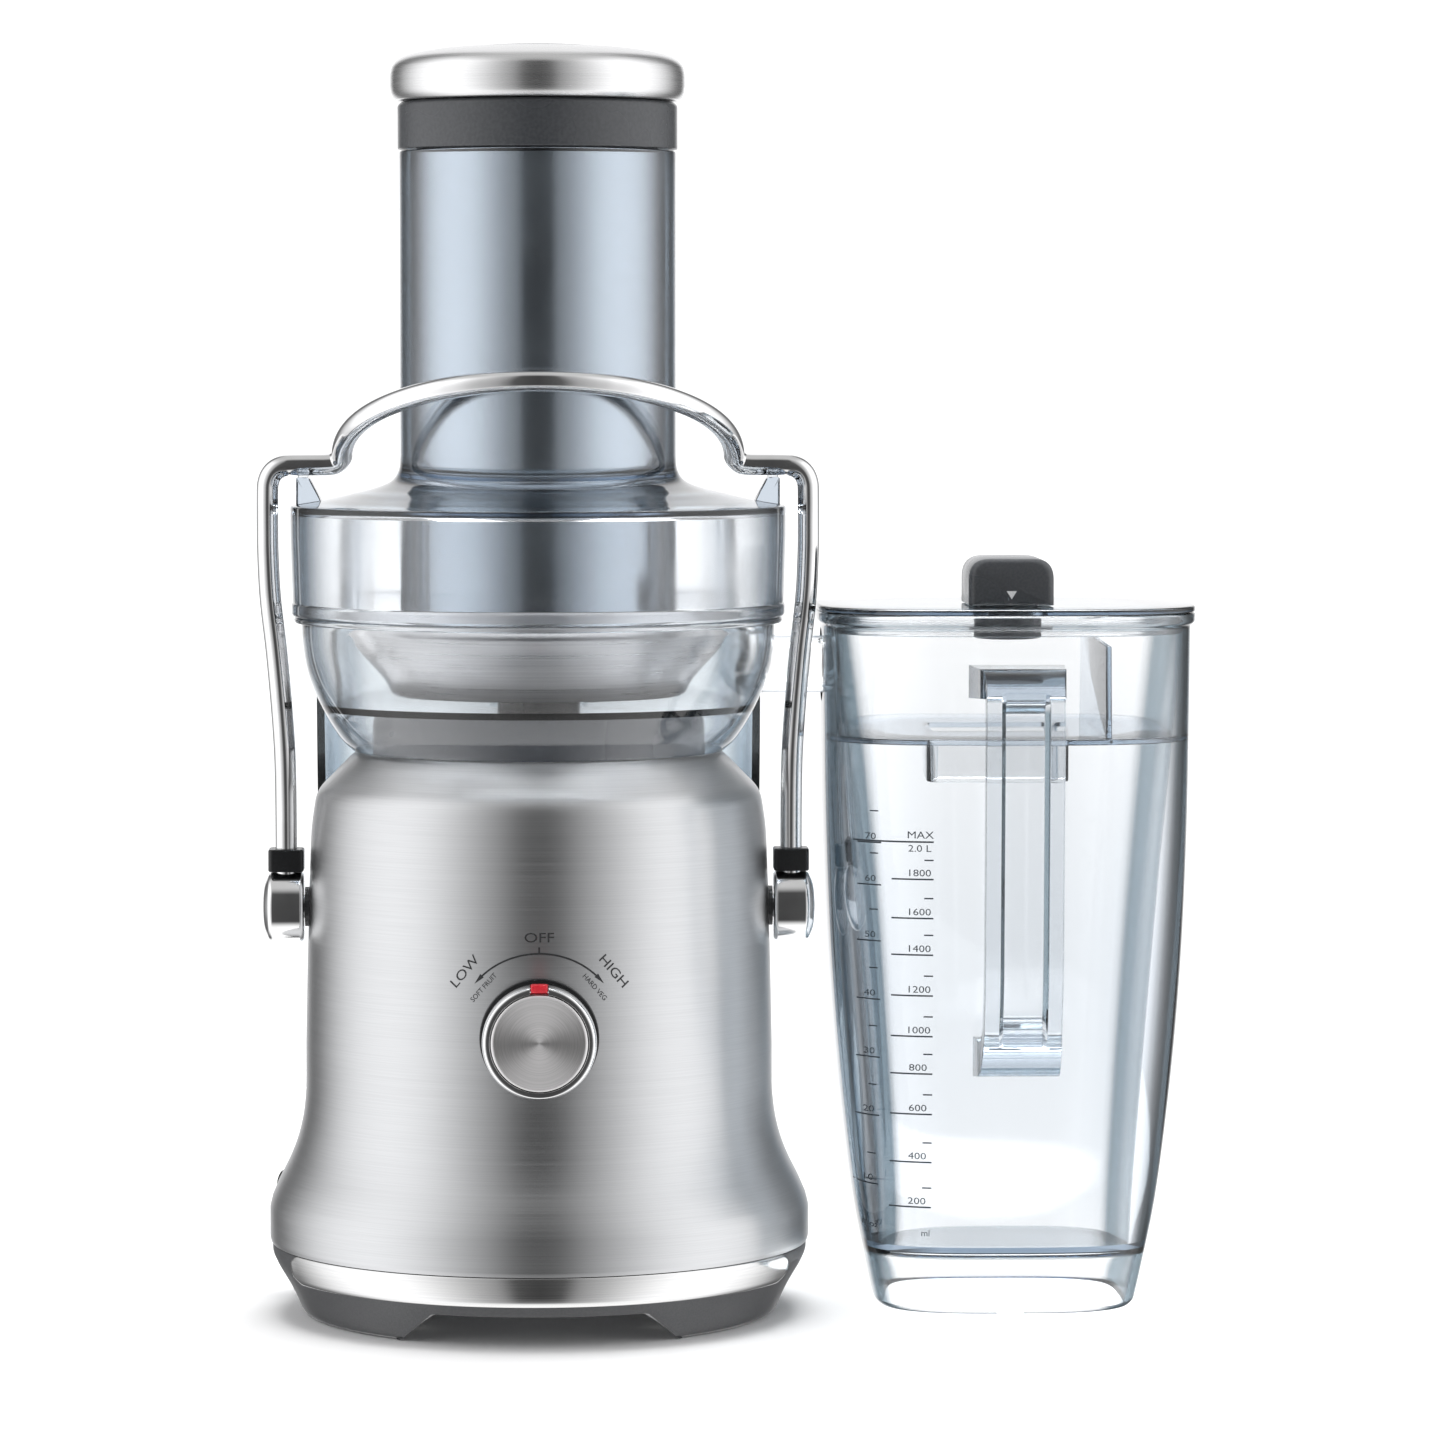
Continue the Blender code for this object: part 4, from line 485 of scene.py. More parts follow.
# %% [markdown]
# ## Metals and board inside the base
#
# The motor can't be seen from outside, but it is there when the juicer is opened. Its parts keep the
# frame's shapes and get real finishes: stacked steel sheet, enamelled copper wire, die-cast
# aluminium, plain turned steel and a glass-fibre circuit board.

# %% Inner finishes
stacked_steel = steel("electrical_steel_stacked", JUICER, "#8c8d90", "#5d5e61", 0.45, 1.0, 400.0)
turned_steel = steel("steel_turned", JUICER, "#b4b5b8", "#9a9b9e", 0.32, 0.5)
zinc_steel = steel("steel_zinc_plated", JUICER, "#c4c6c4", "#aeb0ac", 0.35, 0.5)
copper_wire = steel("copper_wire_enamelled", JUICER, "#c9713f", "#8a4422", 0.35, 1.2, 60.0)
cast_aluminium = polished("aluminium_die_cast", "#b9bbbd", "#a2a4a6", 0.42, 1.5, 0.06)
green_board = moulded("glass_fibre_board_lacquered", "#2f6b45", "#275c3a", 0.4, 1.5, 0.01)

INNER = {
    "stator_core": stacked_steel,
    "armature": stacked_steel,
    "field_coil_front": copper_wire,
    "field_coil_rear": copper_wire,
    "commutator": copper_wire,
    "lower_bearing_bracket": cast_aluminium,
    "upper_bearing_bracket": cast_aluminium,
    "lower_bearing": turned_steel,
    "upper_bearing": turned_steel,
    "motor_shaft": turned_steel,
    "pivot_pin_left": turned_steel,
    "pivot_pin_right": turned_steel,
    "base_screw_front_left": zinc_steel,
    "base_screw_front_right": zinc_steel,
    "base_screw_rear_left": zinc_steel,
    "base_screw_rear_right": zinc_steel,
    "control_board": green_board,
    "spindle_seal": black_rubber,
}
for name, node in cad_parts.items():
    look = INNER.get(name, black_abs if "switch" in name or "brush" in name else grey_abs)
    node.data.materials.clear()
    node.data.materials.append(look)
print("frame nodes dressed:", len(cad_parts))

# %% [markdown]
# ## Motor housing
#
# The housing is one steel shell: a flat deck, a sloping shoulder, a body that widens a little, and a
# concave flare to an upright skirt. A smooth curve through a few points gives the outside, and the
# same curve set in by the sheet's thickness gives the inside.

# %% Housing
SHOULDER = [(46.0, 198.5), (64.5, 198.5), (78.2, 184.6), (80.2, 172.0), (81.0, 150.0)]
BELL = [(82.3, 84.0), (82.5, 78.0), (83.4, 70.0), (85.3, 62.0), (88.2, 54.5), (91.7, 47.5), (94.3, 41.5)]
HOUSING = np.concatenate(
    [
        rounded(SHOULDER, [0, 2.5, 3.5, 6, 0], 6, False),
        dense([(81.2, 140.0), (81.6, 128.0), (82.0, 110.0), (82.3, 95.0)], 8.0),
        smooth(BELL, 5),
        rounded([(95.3, 37.5), (95.3, 27.0), (94.9, 25.6)], 0.6, 3, False),
    ]
)
WALL_TOP = 186.0
SHEET = 1.4


def housing_radius(height):
    """The outside radius of the housing's wall at a height between the skirt and the shoulder."""
    wall = HOUSING[HOUSING[:, 1] < WALL_TOP][::-1]
    return np.interp(height, wall[:, 1], wall[:, 0])


inside = HOUSING - (SHEET, 0) - np.stack([0 * HOUSING[:, 0], SHEET * (HOUSING[:, 1] > WALL_TOP)], axis=1)
inside = inside[(inside[:, 0] > 46) & (HOUSING[:, 0] > 64)]
shell = np.concatenate([HOUSING, inside[::-1], [(46.0, 197.1)]])
housing = solid("housing_shell", JUICER, turned(shell, 192), wrap=True)
piece(housing, brushed_body, "base", "motor_housing", slot="brushed_steel", sharp=50)

# %% [markdown]
# ## Base pan, band and feet
#
# The pan tapers in under the skirt and has an arch at the front and the rear, where fingers lift the
# juicer. It is turned first. Then every point low enough is lifted to the arch's height at its own
# sideways place, and slides along the taper to the radius that the taper has there.


# %% Base pan
PAN = [(0, 11.0), (66.0, 11.0), (68.0, 0.3), (83.4, 0.3), (87.4, 9.4), (92.5, 17.8), (94.4, 22.0)]
PAN += [(94.4, 25.3), (93.2, 25.3), (93.2, 28.0), (91.0, 28.0), (87.8, 15.5), (72.0, 13.5), (0, 13.5)]
PAN_CORNERS = [0, 2, 1.5, 2.5, 6, 6, 1.5, 0.5, 0.3, 0.5, 0.5, 2, 2, 0]
ARCH_HEIGHT, ARCH_END = 11.0, 48.0


def arched(profile, sides):
    """Turns the pan, then lifts its lower points: at sideways place x the arch stands 11 mm high
    out to 37 mm and slopes down to the worktop at 48 mm."""
    r, h = np.repeat(profile[:, :, None], sides, axis=2).transpose(1, 0, 2)
    a = np.linspace(0, 2 * math.pi, sides, endpoint=False)[None]
    low, outer, high = h < ARCH_HEIGHT, r > 75.0, h
    for _ in range(4):
        lift = np.clip(ARCH_END - np.abs(r * np.cos(a)), 0, ARCH_HEIGHT)
        high = np.where(low, np.maximum(h, lift), h)
        outside = np.interp(high, [0.3, 9.4, 17.8], [83.4, 87.4, 92.5])
        taper = np.where(outer, outside, np.interp(high, [0.3, 11], [68, 66]))
        r = np.where(low & (high > h + 1e-6), taper, r)
    return np.stack([r * np.cos(a), r * np.sin(a), high], axis=-1)


pan = solid("base_pan_moulded", JUICER, arched(rounded(PAN, PAN_CORNERS, 4, False), 360))
piece(pan, grey_abs, "base", "base_pan", slot="dark_grey_plastic")

# %% [markdown]
# The polished band is let into the front of the pan. Its ends are rounded like the ends of a slot: the
# band's height shrinks over its last few millimetres as a half circle does.


# %% Polished band
def band(inner, outer, low, high, half_angle, end):
    """Row i is the section at angle a from the front. Its half height is k H, where k is 1 and
    falls to 0 at the ends as sqrt(1 - s^2), with s running from 0 to 1 over the end length. The
    section is drawn in towards its foot, along the pan's taper."""
    plain = half_angle - end
    stretches = [(-half_angle, -plain, 8), (1 - plain, plain - 1, 120), (plain, half_angle, 8)]
    a = np.radians(np.concatenate([np.linspace(*stretch) for stretch in stretches]))
    s = np.clip((np.abs(a) - math.radians(plain)) / math.radians(end), 0, 0.999)
    k = np.sqrt(1 - s**2)[:, None]
    section = rounded([(inner, -1), (outer, -1), (outer, 1), (inner, 1)], [0.1, 0.35, 0.35, 0.1], 4)
    r, v = section[None, :, 0], section[None, :, 1]
    z = (low + high) / 2 + v * (high - low) / 2 * k
    r = r + np.interp(z, [14.6, 17.8, 22.0], [-2.6, -0.9, 0.0])
    return capped(np.stack([r * np.sin(a)[:, None], -r * np.cos(a)[:, None], z], axis=-1))


strip = solid("front_band", JUICER, band(93.2, 94.8, 14.9, 25.3, 66.7, 4.0))
piece(strip, polished_band, "base", "trim_band", slot="polished_steel")

# %% Feet and cord gland
FOOT = [(0, 3.6), (6.0, 3.6), (5.6, 0.0), (3.4, 0.0), (3.0, 0.5), (0, 0.5)]
FOOT = rounded(FOOT, [0, 0.3, 0.8, 0.3, 0.3, 0], 4, False)
for corner in ("front_left", "front_right", "rear_left", "rear_right"):
    foot = solid(f"foot_{corner}", upright(f"rubber_foot_{corner}"), turned(FOOT, 32))
    piece(foot, black_rubber, "base", f"rubber_foot_{corner}", slot="rubber")

GLAND = [(3.6, 87.3), (9.0, 87.3), (9.0, 90.3), (7.0, 90.3), (7.0, 97.3), (5.2, 102.3), (3.6, 102.3)]
turn = math.radians(90 + 65)
gland = turned(rounded(GLAND, 0.6, 3), 48, "X") @ np.array(
    [[math.cos(turn), math.sin(turn), 0], [-math.sin(turn), math.cos(turn), 0], [0, 0, 1]]
)
gland = solid("cord_gland_moulded", JUICER + (0, 0, 38.5 * MM), gland, wrap=True)
piece(gland, black_abs, "base", "cord_gland", slot="black_plastic")

# %% [markdown]
# ## Coupling tower
#
# The dark tower stands in the bowl's foot and carries the shaft's seal. It is a moulding with a soft
# top edge, seen through the clear bowl.

# %% Coupling tower
TOWER = [(14.0, 200.5), (14.0, 213.5), (45.0, 213.5), (45.0, 196.7), (60.0, 196.7), (60.0, 192.7)]
TOWER += [(41.0, 192.7), (41.0, 210.0), (17.0, 210.0), (17.0, 200.5)]
tower = solid("tower_moulded", JUICER, turned(dense(rounded(TOWER, 1.2, 5), 6.0, True), 128), wrap=True)
piece(tower, grey_abs, "base", "coupling_tower", slot="dark_grey_plastic")

# %% [markdown]
# ## Dial
#
# The knob is a chrome ring with a lathe-turned face let into it and a red pointer in a notch at the
# top. Behind it a black escutcheon leaves a dark line round the knob. All of them are turned about
# an axis that runs out of the front.

# %% Escutcheon, knob and face
ESCUTCHEON = [(3.6, 72.8), (23.4, 72.8), (23.4, 75.5), (20.4, 75.5), (20.4, 83.4), (3.6, 83.4)]
escutcheon = solid("dial_escutcheon_ring", DIAL, turned(rounded(ESCUTCHEON, 0.5, 4), 96, "FRONT"), wrap=True)
piece(escutcheon, black_abs, "base", "dial_escutcheon", slot="black_plastic")

KNOB = [(0, 63.0), (3.0, 63.0), (3.0, 84.0), (18.6, 84.0), (19.5, 86.5), (19.5, 95.6), (18.7, 97.3)]
KNOB += [(16.8, 97.3), (16.8, 95.6), (0, 95.6)]
knob = turned(rounded(KNOB, [0, 0.4, 0.5, 0.8, 2.0, 1.2, 0.8, 0.2, 0.2, 0], 5, False), 128, "FRONT")
knob = solid("dial_ring", DIAL, knob)
notch = pillow(3.2, 8.0, 16.6, 24.0, 0.4, 0.2) - (0, 97.3, 0)
carve(knob, solid("notch", DIAL, notch))
piece(knob, chrome, "dial", "control_dial", slot="chrome")

FACE = [(0, 95.9), (16.5, 95.9), (16.5, 97.6), (15.6, 98.0), (0, 97.2)]
FACE = rounded(FACE, [0, 0.2, 0.4, 0.8, 0], 4, False)
face = solid("dial_spun_face", DIAL, turned(dense(FACE, 1.5), 128, "FRONT"))
piece(face, spun_face, "dial", "dial_face", slot="polished_steel", sharp=60)

pointer = pillow(2.8, 2.55, 17.2, 19.8, 0.5, 0.4) - (0, 94.95, 0)
pointer = solid("dial_red_pointer", DIAL, pointer)
piece(pointer, red_abs, "dial", "dial_pointer", slot="red_plastic")

# %% [markdown]
# ## Filter bowl
#
# The bowl is one moulding: a foot that seats on the deck, a rounded wall, a bead where the cover
# lands, and a spout through the jug's wall. The turned shell comes first, the spout's tube is joined
# on, and its bore is cut through both.

# %% Filter bowl
BOWL_OUT = [(65.4, 198.9), (69.3, 202.6), (73.0, 208.2), (76.9, 215.4), (80.0, 222.6), (82.0, 230.0)]
BOWL_OUT += [(83.1, 238.0), (83.3, 243.3)]
BOWL_BEAD = [(83.3, 243.7), (86.0, 244.0), (86.0, 245.8), (83.4, 246.0), (83.4, 250.2), (81.2, 250.2)]
BOWL_IN = [(81.0, 250.2), (81.0, 242.0), (79.8, 232.0), (77.6, 224.0), (74.7, 216.5)]
BOWL = np.concatenate(
    [
        smooth(BOWL_OUT, 4),
        rounded(BOWL_BEAD, 0.7, 3),
        smooth(BOWL_IN, 4),
        dense([(73.0, 216.5), (17.2, 216.5), (17.2, 214.1), (73.4, 214.1)], 8.0),
        smooth([(72.5, 212.6), (70.3, 208.3), (67.2, 203.6), (63.0, 198.9)], 4),
    ]
)
bowl = solid("bowl_clear", JUICER, turned(BOWL, 144), wrap=True)
SPOUT = JUICER + np.array([0, 22.0, 227.6]) * MM
tube = rounded([(0, 76.0), (10.2, 76.0), (10.2, 105.0), (0, 105.0)], [0, 0.1, 0.8, 0], 4, False)
carve(bowl, solid("tube", SPOUT, turned(tube, 64, "X")), "UNION")
bore = [(0, 70.0), (8.2, 70.0), (8.2, 110.0), (0, 110.0)]
carve(bowl, solid("bore", SPOUT, turned(bore, 64, "X")))
piece(bowl, clear_bowl, "base", "filter_bowl", slot="clear_polycarbonate")

# %% [markdown]
# Inside the bowl's foot a ring seats it on the tower. It shows as a grey band behind the clear wall.

# %% Seat ring
SEAT = [(46.0, 198.9), (58.6, 198.9), (58.2, 213.4), (46.0, 213.4)]
seat = solid("bowl_seat_ring", JUICER, turned(dense(rounded(SEAT, 0.5, 3), 4.0, True), 128), wrap=True)
piece(seat, seat_abs, "base", slot="dark_grey_plastic")

# %% [markdown]
# ## Basket and cutting disc
#
# The sieve basket is a steel cone under a plain rim. The disc in its floor grates the fruit with rows
# of small pressed teeth. They are stamped in rings, each turned a little from the last, and all of
# them are one mesh: a small wedge copied to every place by adding arrays.

# %% Basket, hub and disc
BASKET = [(12.3, 219.0), (51.5, 219.0), (68.5, 240.1), (70.5, 241.6), (70.5, 249.6), (69.3, 249.6)]
BASKET += [(69.3, 242.2), (67.6, 240.9), (51.0, 220.2), (12.3, 220.2)]
basket = turned(dense(rounded(BASKET, 0.8, 4), 2.5, True), 128)
basket = solid("sieve_basket", JUICER, basket, wrap=True)
piece(basket, sieve_steel, "rotor", "filter_basket", slot="steel")

HUB = [(0, 221.1), (12.0, 221.1), (12.0, 218.7), (14.5, 218.7), (14.5, 214.9), (9.2, 214.9)]
HUB += [(9.2, 219.8), (0, 219.8)]
hub = solid("basket_hub_moulded", JUICER, turned(rounded(HUB, 0.4, 3, False), 64))
piece(hub, black_abs, "rotor", "basket_hub", slot="black_plastic")


def teeth(rings, height, radius, top):
    """Ring k has 6k places, at k / (rings + 1.6) of the radius. Each tooth is a wedge of six corners,
    turned with its place: four on the disc, and two on a raised cutting edge."""
    k = np.repeat(np.arange(2, rings + 2), 6 * np.arange(2, rings + 2))
    n = np.concatenate([np.arange(6 * i) for i in range(2, rings + 2)])
    a = 2 * math.pi * n / (6 * k) + 0.35 * k
    r = radius * k / (rings + 1.6)
    flat = [(-0.7, -1.2, 0), (0.7, -1.2, 0), (0.7, 0.9, 0), (-0.7, 0.9, 0)]
    corner = np.array([*flat, (0.5, 1.3, height), (-0.5, 1.3, height)])
    c, s = np.cos(a)[:, None], np.sin(a)[:, None]
    x = (r[:, None] + corner[None, :, 0]) * c - corner[None, :, 1] * s
    y = (r[:, None] + corner[None, :, 0]) * s + corner[None, :, 1] * c
    z = np.broadcast_to(top + corner[None, :, 2], x.shape)
    one = np.array([(0, 3, 2, 1), (0, 1, 4, 5), (3, 5, 4, 2)])
    faces = (one[None] + 6 * np.arange(len(k))[:, None, None]).reshape(-1, 4)
    side = np.array([(0, 5, 3), (1, 2, 4)])
    sides = (side[None] + 6 * np.arange(len(k))[:, None, None]).reshape(-1, 3)
    return np.stack([x, y, z], axis=-1).reshape(-1, 3), faces.tolist() + sides.tolist()


disc = [(0, 225.6), (5.0, 225.0), (7.0, 222.6), (46.0, 222.6), (46.0, 221.4), (0, 221.4)]
disc = solid("grating_disc", JUICER, turned(dense(rounded(disc, 0.3, 3, False), 4.0), 96))
points, faces = teeth(10, 1.4, 44.0, 222.55)
cutters = bpy.data.meshes.new("grating_teeth")
cutters.from_pydata(points * MM + JUICER, [], faces)
cutters = linked("grating_teeth", cutters)
piece(disc, blade_steel, "rotor", "cutting_disc", slot="steel")
piece(cutters, blade_steel, "rotor", slot="steel", sharp=20)

# %% [markdown]
# ## Cover and feed chute
#
# The cover is one moulding too: the upright skirt, a low roof that sweeps up into the feed chute, and
# the chute itself, which reaches down to just above the disc. Behind, a box-shaped overhang throws
# the pulp into the container. It is a loft of a plan outline, joined on and then hollowed.


# %% Plan outlines behind the juicer
def rear_outline(half, rear, front, bow=100.0, power=3.0, steps=40):
    """Half a rounded square, |x / a|^p + |y / b|^p = 1, behind the middle, and a straight front."""
    t = np.linspace(0, math.pi, steps)
    c, s = np.cos(t), np.sin(t)
    reach = (np.abs(c) ** power + np.abs(s) ** power) ** (-1 / power)
    arc = np.stack([half * c * reach, bow + (rear - bow) * s * reach], axis=1)
    return np.concatenate([arc, [(-half, front), (half, front)]])


def box_shape(levels, outline):
    """A capped loft: each level is (inset, height), and the outline is made for each inset."""
    rows = [np.concatenate([o := outline(inset), np.full((len(o), 1), z)], axis=1) for inset, z in levels]
    return capped(np.array(rows))


# %% Cover
FLARE = [(48.5, 302.5), (49.0, 297.6), (51.6, 293.6), (57.2, 291.2), (64.5, 289.4), (72.0, 287.6)]
FLARE += [(80.0, 286.0)]
COVER_LAP = [(86.4, 251.0), (86.9, 250.4), (86.9, 247.0), (86.2, 246.1), (84.0, 246.1), (84.2, 251.0)]
COVER_IN = [(84.8, 281.6), (83.2, 283.0), (72.0, 285.0), (57.0, 288.4), (50.6, 290.0), (48.5, 286.0)]
COVER_IN += [(48.5, 228.0), (46.2, 228.0), (46.2, 250.0)]
COVER = np.concatenate(
    [
        rounded([(46.2, 300.0), (46.2, 408.9), (48.5, 408.9), (48.5, 400.0)], [0, 0.6, 0.6, 0], 4, False),
        dense([(48.5, 390.0), (48.5, 310.0)], 10.0),
        smooth(FLARE, 5),
        rounded([(83.0, 285.5), (87.2, 284.9), (87.2, 274.0)], [0, 0.7, 0], 5, False),
        dense([(87.0, 268.0), (86.5, 251.5)], 6.0),
        rounded(COVER_LAP, 0.5, 3, False),
        dense([(84.3, 256.0), (84.6, 276.0)], 5.0),
        rounded(COVER_IN, [0, 2, 3, 3, 2, 2, 0.6, 0.6, 0], 4, False),
    ]
)
cover = solid("cover_clear", JUICER, turned(COVER, 144), wrap=True)


def overhang(levels, half, rear, front):
    """The overhang's solid, drawn in all round by each level's inset."""
    shape = box_shape(levels, lambda inset: rear_outline(half - inset, rear - inset, front))
    return solid("overhang", JUICER, shape)


OVERHANG = [(0.5, 249.7), (0.0, 250.3), (0.0, 279.5), (0.6, 281.4), (2.2, 282.7)]
carve(cover, overhang(OVERHANG, 74.0, 171.0, 52.0), "UNION")
chamber = turned(rounded([(51.5, 244.0), (83.6, 244.0), (83.6, 280.0), (51.5, 280.0)], 1.0, 3), 144)
carve(cover, solid("chamber", JUICER, chamber, wrap=True))
carve(cover, overhang([(0.0, 252.1), (0.0, 280.3)], 71.6, 168.6, 58.0))
carve(cover, overhang([(0.0, 244.0), (0.0, 253.1)], 71.6, 168.6, 90.2))

# %% [markdown]
# Two ears stand on the cover's edge. The locking arm's shoulders sit on them and press the cover
# down. Each is a thin wedge with a higher stop behind.


# %% Ears
def along_y(rows, depth):
    """Puts each flat row (x, z) at its own depth y, and caps the ends."""
    y = np.broadcast_to(depth[:, None, None], (*rows.shape[:2], 1))
    return capped(np.concatenate([rows[..., :1], y, rows[..., 1:]], axis=-1))


def wedge(side, outline, low, high):
    """A flat outline in x and z, laid along y, with its edges drawn in at both ends."""
    outline = rounded(np.array(outline) * (side, 1), 0.8, 3)
    centre = outline.mean(axis=0)
    depth = np.array([low, low + 0.3, high - 0.3, high])
    scale = np.array([0.93, 1.0, 1.0, 0.93])[:, None, None]
    return along_y(centre + (outline - centre) * scale, depth)


for side in (-1, 1):
    ledge = [(75.0, 284.4), (84.8, 282.1), (84.8, 294.9), (80.5, 294.9)]
    carve(cover, solid("ledge", JUICER, wedge(side, ledge, -8.6, 8.6)), "UNION")
    stop = [(80.7, 290.0), (84.6, 290.0), (84.6, 300.8), (81.4, 300.8)]
    carve(cover, solid("stop", JUICER, wedge(side, stop, 4.4, 8.4)), "UNION")
piece(cover, clear_cover, "base", "juicer_cover", slot="clear_polycarbonate")

# %% [markdown]
# ## Food pusher
#
# The pusher is a hollow smoked body that fills the chute, a satin dark collar, and a brushed steel cap
# with a crowned edge and a dark middle.

# %% Pusher body
BODY = [(0, 230.9), (43.4, 230.9), (44.9, 232.4), (44.9, 407.9), (42.9, 407.9), (42.9, 232.9), (0, 232.9)]
body = turned(dense(rounded(BODY, [0, 1.0, 0.8, 0.5, 0.4, 0.8, 0], 3, False), 9.0), 144)
body = solid("pusher_smoked", JUICER, body)
piece(body, smoked, "pusher", "pusher_body", slot="clear_polycarbonate")

# %% Collar
COLLAR = [(0, 412.5), (39.4, 412.5), (39.4, 400.5), (42.4, 400.5), (42.4, 409.5), (49.1, 409.5)]
COLLAR += [(49.1, 424.9), (47.6, 426.1), (0, 426.1)]
collar = turned(dense(rounded(COLLAR, [0, 0.5, 0.5, 0.5, 0.4, 0.6, 0.8, 0.4, 0], 4, False), 4.0), 144)
collar = solid("pusher_collar_satin", JUICER, collar)
piece(collar, collar_abs, "pusher", "pusher_collar", slot="dark_grey_plastic")

# %% Cap
CAP_EDGE = [(40.0, 426.4), (49.6, 426.4), (51.2, 428.4), (51.7, 431.0), (51.7, 434.6)]
CAP = np.concatenate(
    [
        [(0, 426.4)],
        rounded(CAP_EDGE, [0, 0.8, 1.5, 2, 0], 4, False),
        smooth([(51.6, 436.2), (50.9, 438.6), (49.2, 440.6), (46.4, 442.1), (41.0, 443.5), (34.0, 444.6)], 5),
        rounded([(30.0, 445.0), (27.3, 445.1), (27.3, 443.4), (0, 443.4)], [0, 0.5, 0.3, 0], 3, False),
    ]
)
cap = solid("pusher_cap_steel", JUICER, turned(CAP, 160))
piece(cap, brushed_cap, "pusher", "pusher_cap", slot="brushed_steel")
CENTRE = [(0, 443.7), (26.9, 443.7), (26.9, 445.2), (18.0, 445.9), (0, 446.4)]
centre = turned(dense(rounded(CENTRE, [0, 0.3, 0.8, 8, 0], 5, False), 2.0), 96)
centre = solid("cap_centre_satin", JUICER, centre)
piece(centre, collar_abs, "pusher", "pusher_cap_centre", slot="dark_grey_plastic")

# %% [markdown]
# ## Pulp container
#
# The container stands behind the base and is hollowed at its front to pass round it. It is a loft of
# one plan outline that is drawn in towards the foot.


# %% Pulp container
def bin_outline(inset):
    """A rounded rear, then the front as an arc about the juicer's axis."""
    half, front = 81.0 - inset, 98.5 + inset
    rear = rear_outline(half, 178.0 - inset, 0, 100.0, 3.2, 60)[:-2]
    edge = math.asin(half / front)
    t = np.linspace(-edge, edge, 40)
    return np.concatenate([rear, np.stack([front * np.sin(t), front * np.cos(t)], axis=1)])


WALL = [(4.2, 2.2), (4.0, 40.0), (3.4, 120.0), (2.6, 200.0), (2.2, 247.9), (1.9, 248.5)]
WALL += [(0.3, 248.5), (0.0, 247.8), (0.0, 244.5), (0.5, 243.9), (0.7, 200.0), (1.3, 120.0)]
WALL += [(1.9, 40.0), (2.1, 5.0), (2.7, 1.8), (4.4, 0.2), (6.0, 0.0)]
container = solid("pulp_bin_clear", JUICER, box_shape(WALL, bin_outline))
piece(container, clear_bin, "pulp_bin", "pulp_container", slot="clear_polycarbonate")

# %% [markdown]
# ## Locking arm
#
# The arm is one chrome tube, bent to climb each side, turn in over the cover and bow round the chute.
# A circle is carried along its centre line. To keep the circle from spinning, its first axis always
# points away from one fixed place inside the loop of the arm.


# %% Locking arm
def arm_line():
    """The right leg's curve and half of the arch, then both mirrored into one line."""
    leg = [(89.1, 0, 149.9), (89.2, 0, 185.0), (89.9, 0, 205.0), (92.1, 0, 232.0)]
    leg += [(94.3, 0, 252.0), (95.1, 0, 268.0), (95.2, 0, 278.0)]
    bend = [(95.2, 0, 279.0), (95.2, 0, 299.2), (74.0, 0, 299.2), (68.6, 0, 300.0)]
    bend = rounded(bend, [0, 9.6, 2.4, 0], 10, False)
    t = np.linspace(0.02, math.pi / 2, 44)
    lift = np.sin(t) ** 0.85
    arch = np.stack([69.0 * np.cos(t), -58.0 * np.sin(t), 300.3 + 28.8 * lift], axis=1)
    half = np.concatenate([smooth(leg, 6), bend[:-1], arch])
    return np.concatenate([half, half[-2::-1] * (-1, 1, 1)])


def tube(line, radius, sides, centre):
    """Row i is the circle p + r (n cos a + b sin a), where the tangent comes from the neighbours, n
    is the way out from the centre with its part along the tangent taken off, and b = t x n."""
    line = smooth(line, 3)
    ease = np.ones(7) / 7
    padded = np.concatenate([np.repeat(line[:1], 3, 0), line, np.repeat(line[-1:], 3, 0)])
    eased = np.stack([np.convolve(padded[:, k], ease, "valid") for k in range(3)], axis=1)
    line = np.concatenate([line[:1], eased[1:-1], line[-1:]])
    t = np.gradient(line, axis=0)
    t /= np.linalg.norm(t, axis=1)[:, None]
    n = line - centre
    n -= (n * t).sum(axis=1)[:, None] * t
    n /= np.linalg.norm(n, axis=1)[:, None]
    b = np.cross(t, n)
    a = np.linspace(0, 2 * math.pi, sides, endpoint=False)[None, :, None]
    return capped(line[:, None] + radius * (n[:, None] * np.cos(a) + b[:, None] * np.sin(a)))


arm = solid("arm_tube", JUICER, tube(arm_line(), 3.8, 28, np.array([0, 8.0, 215.0])))
piece(arm, chrome, "arm", "locking_arm", slot="chrome")

# %% [markdown]
# Each end of the tube is held by a black sleeve on a chrome hub. The hub is a short drum with a domed
# outer face.

# %% Hubs and sleeves
HUB_PROFILE = [(4.3, 82.9), (11.6, 82.9), (12.3, 83.8), (12.3, 94.2), (11.7, 95.2), (8.0, 96.9)]
HUB_PROFILE += [(0, 97.8), (0, 93.8), (4.3, 93.8)]
for name, side in (("left", -1), ("right", 1)):
    drum = rounded(HUB_PROFILE, [0.2, 0.6, 0.6, 0.8, 0.8, 3, 0, 0, 0.2], 5, False)
    drum = turned(np.concatenate([drum, drum[:1]]), 96, "X") * (side, 1, 1)
    hub = solid(f"hub_{name}", PIVOT, drum)
    piece(hub, chrome, "arm", f"arm_hub_{name}", slot="chrome")
    sleeve = pillow(6.2, 6.2, 12.6, 20.6, 1.6, 0.7) + (side * 89.1, 0, 0)
    sleeve = solid(f"sleeve_{name}", PIVOT, sleeve)
    piece(sleeve, black_abs, "arm", f"arm_sleeve_{name}", slot="black_plastic")

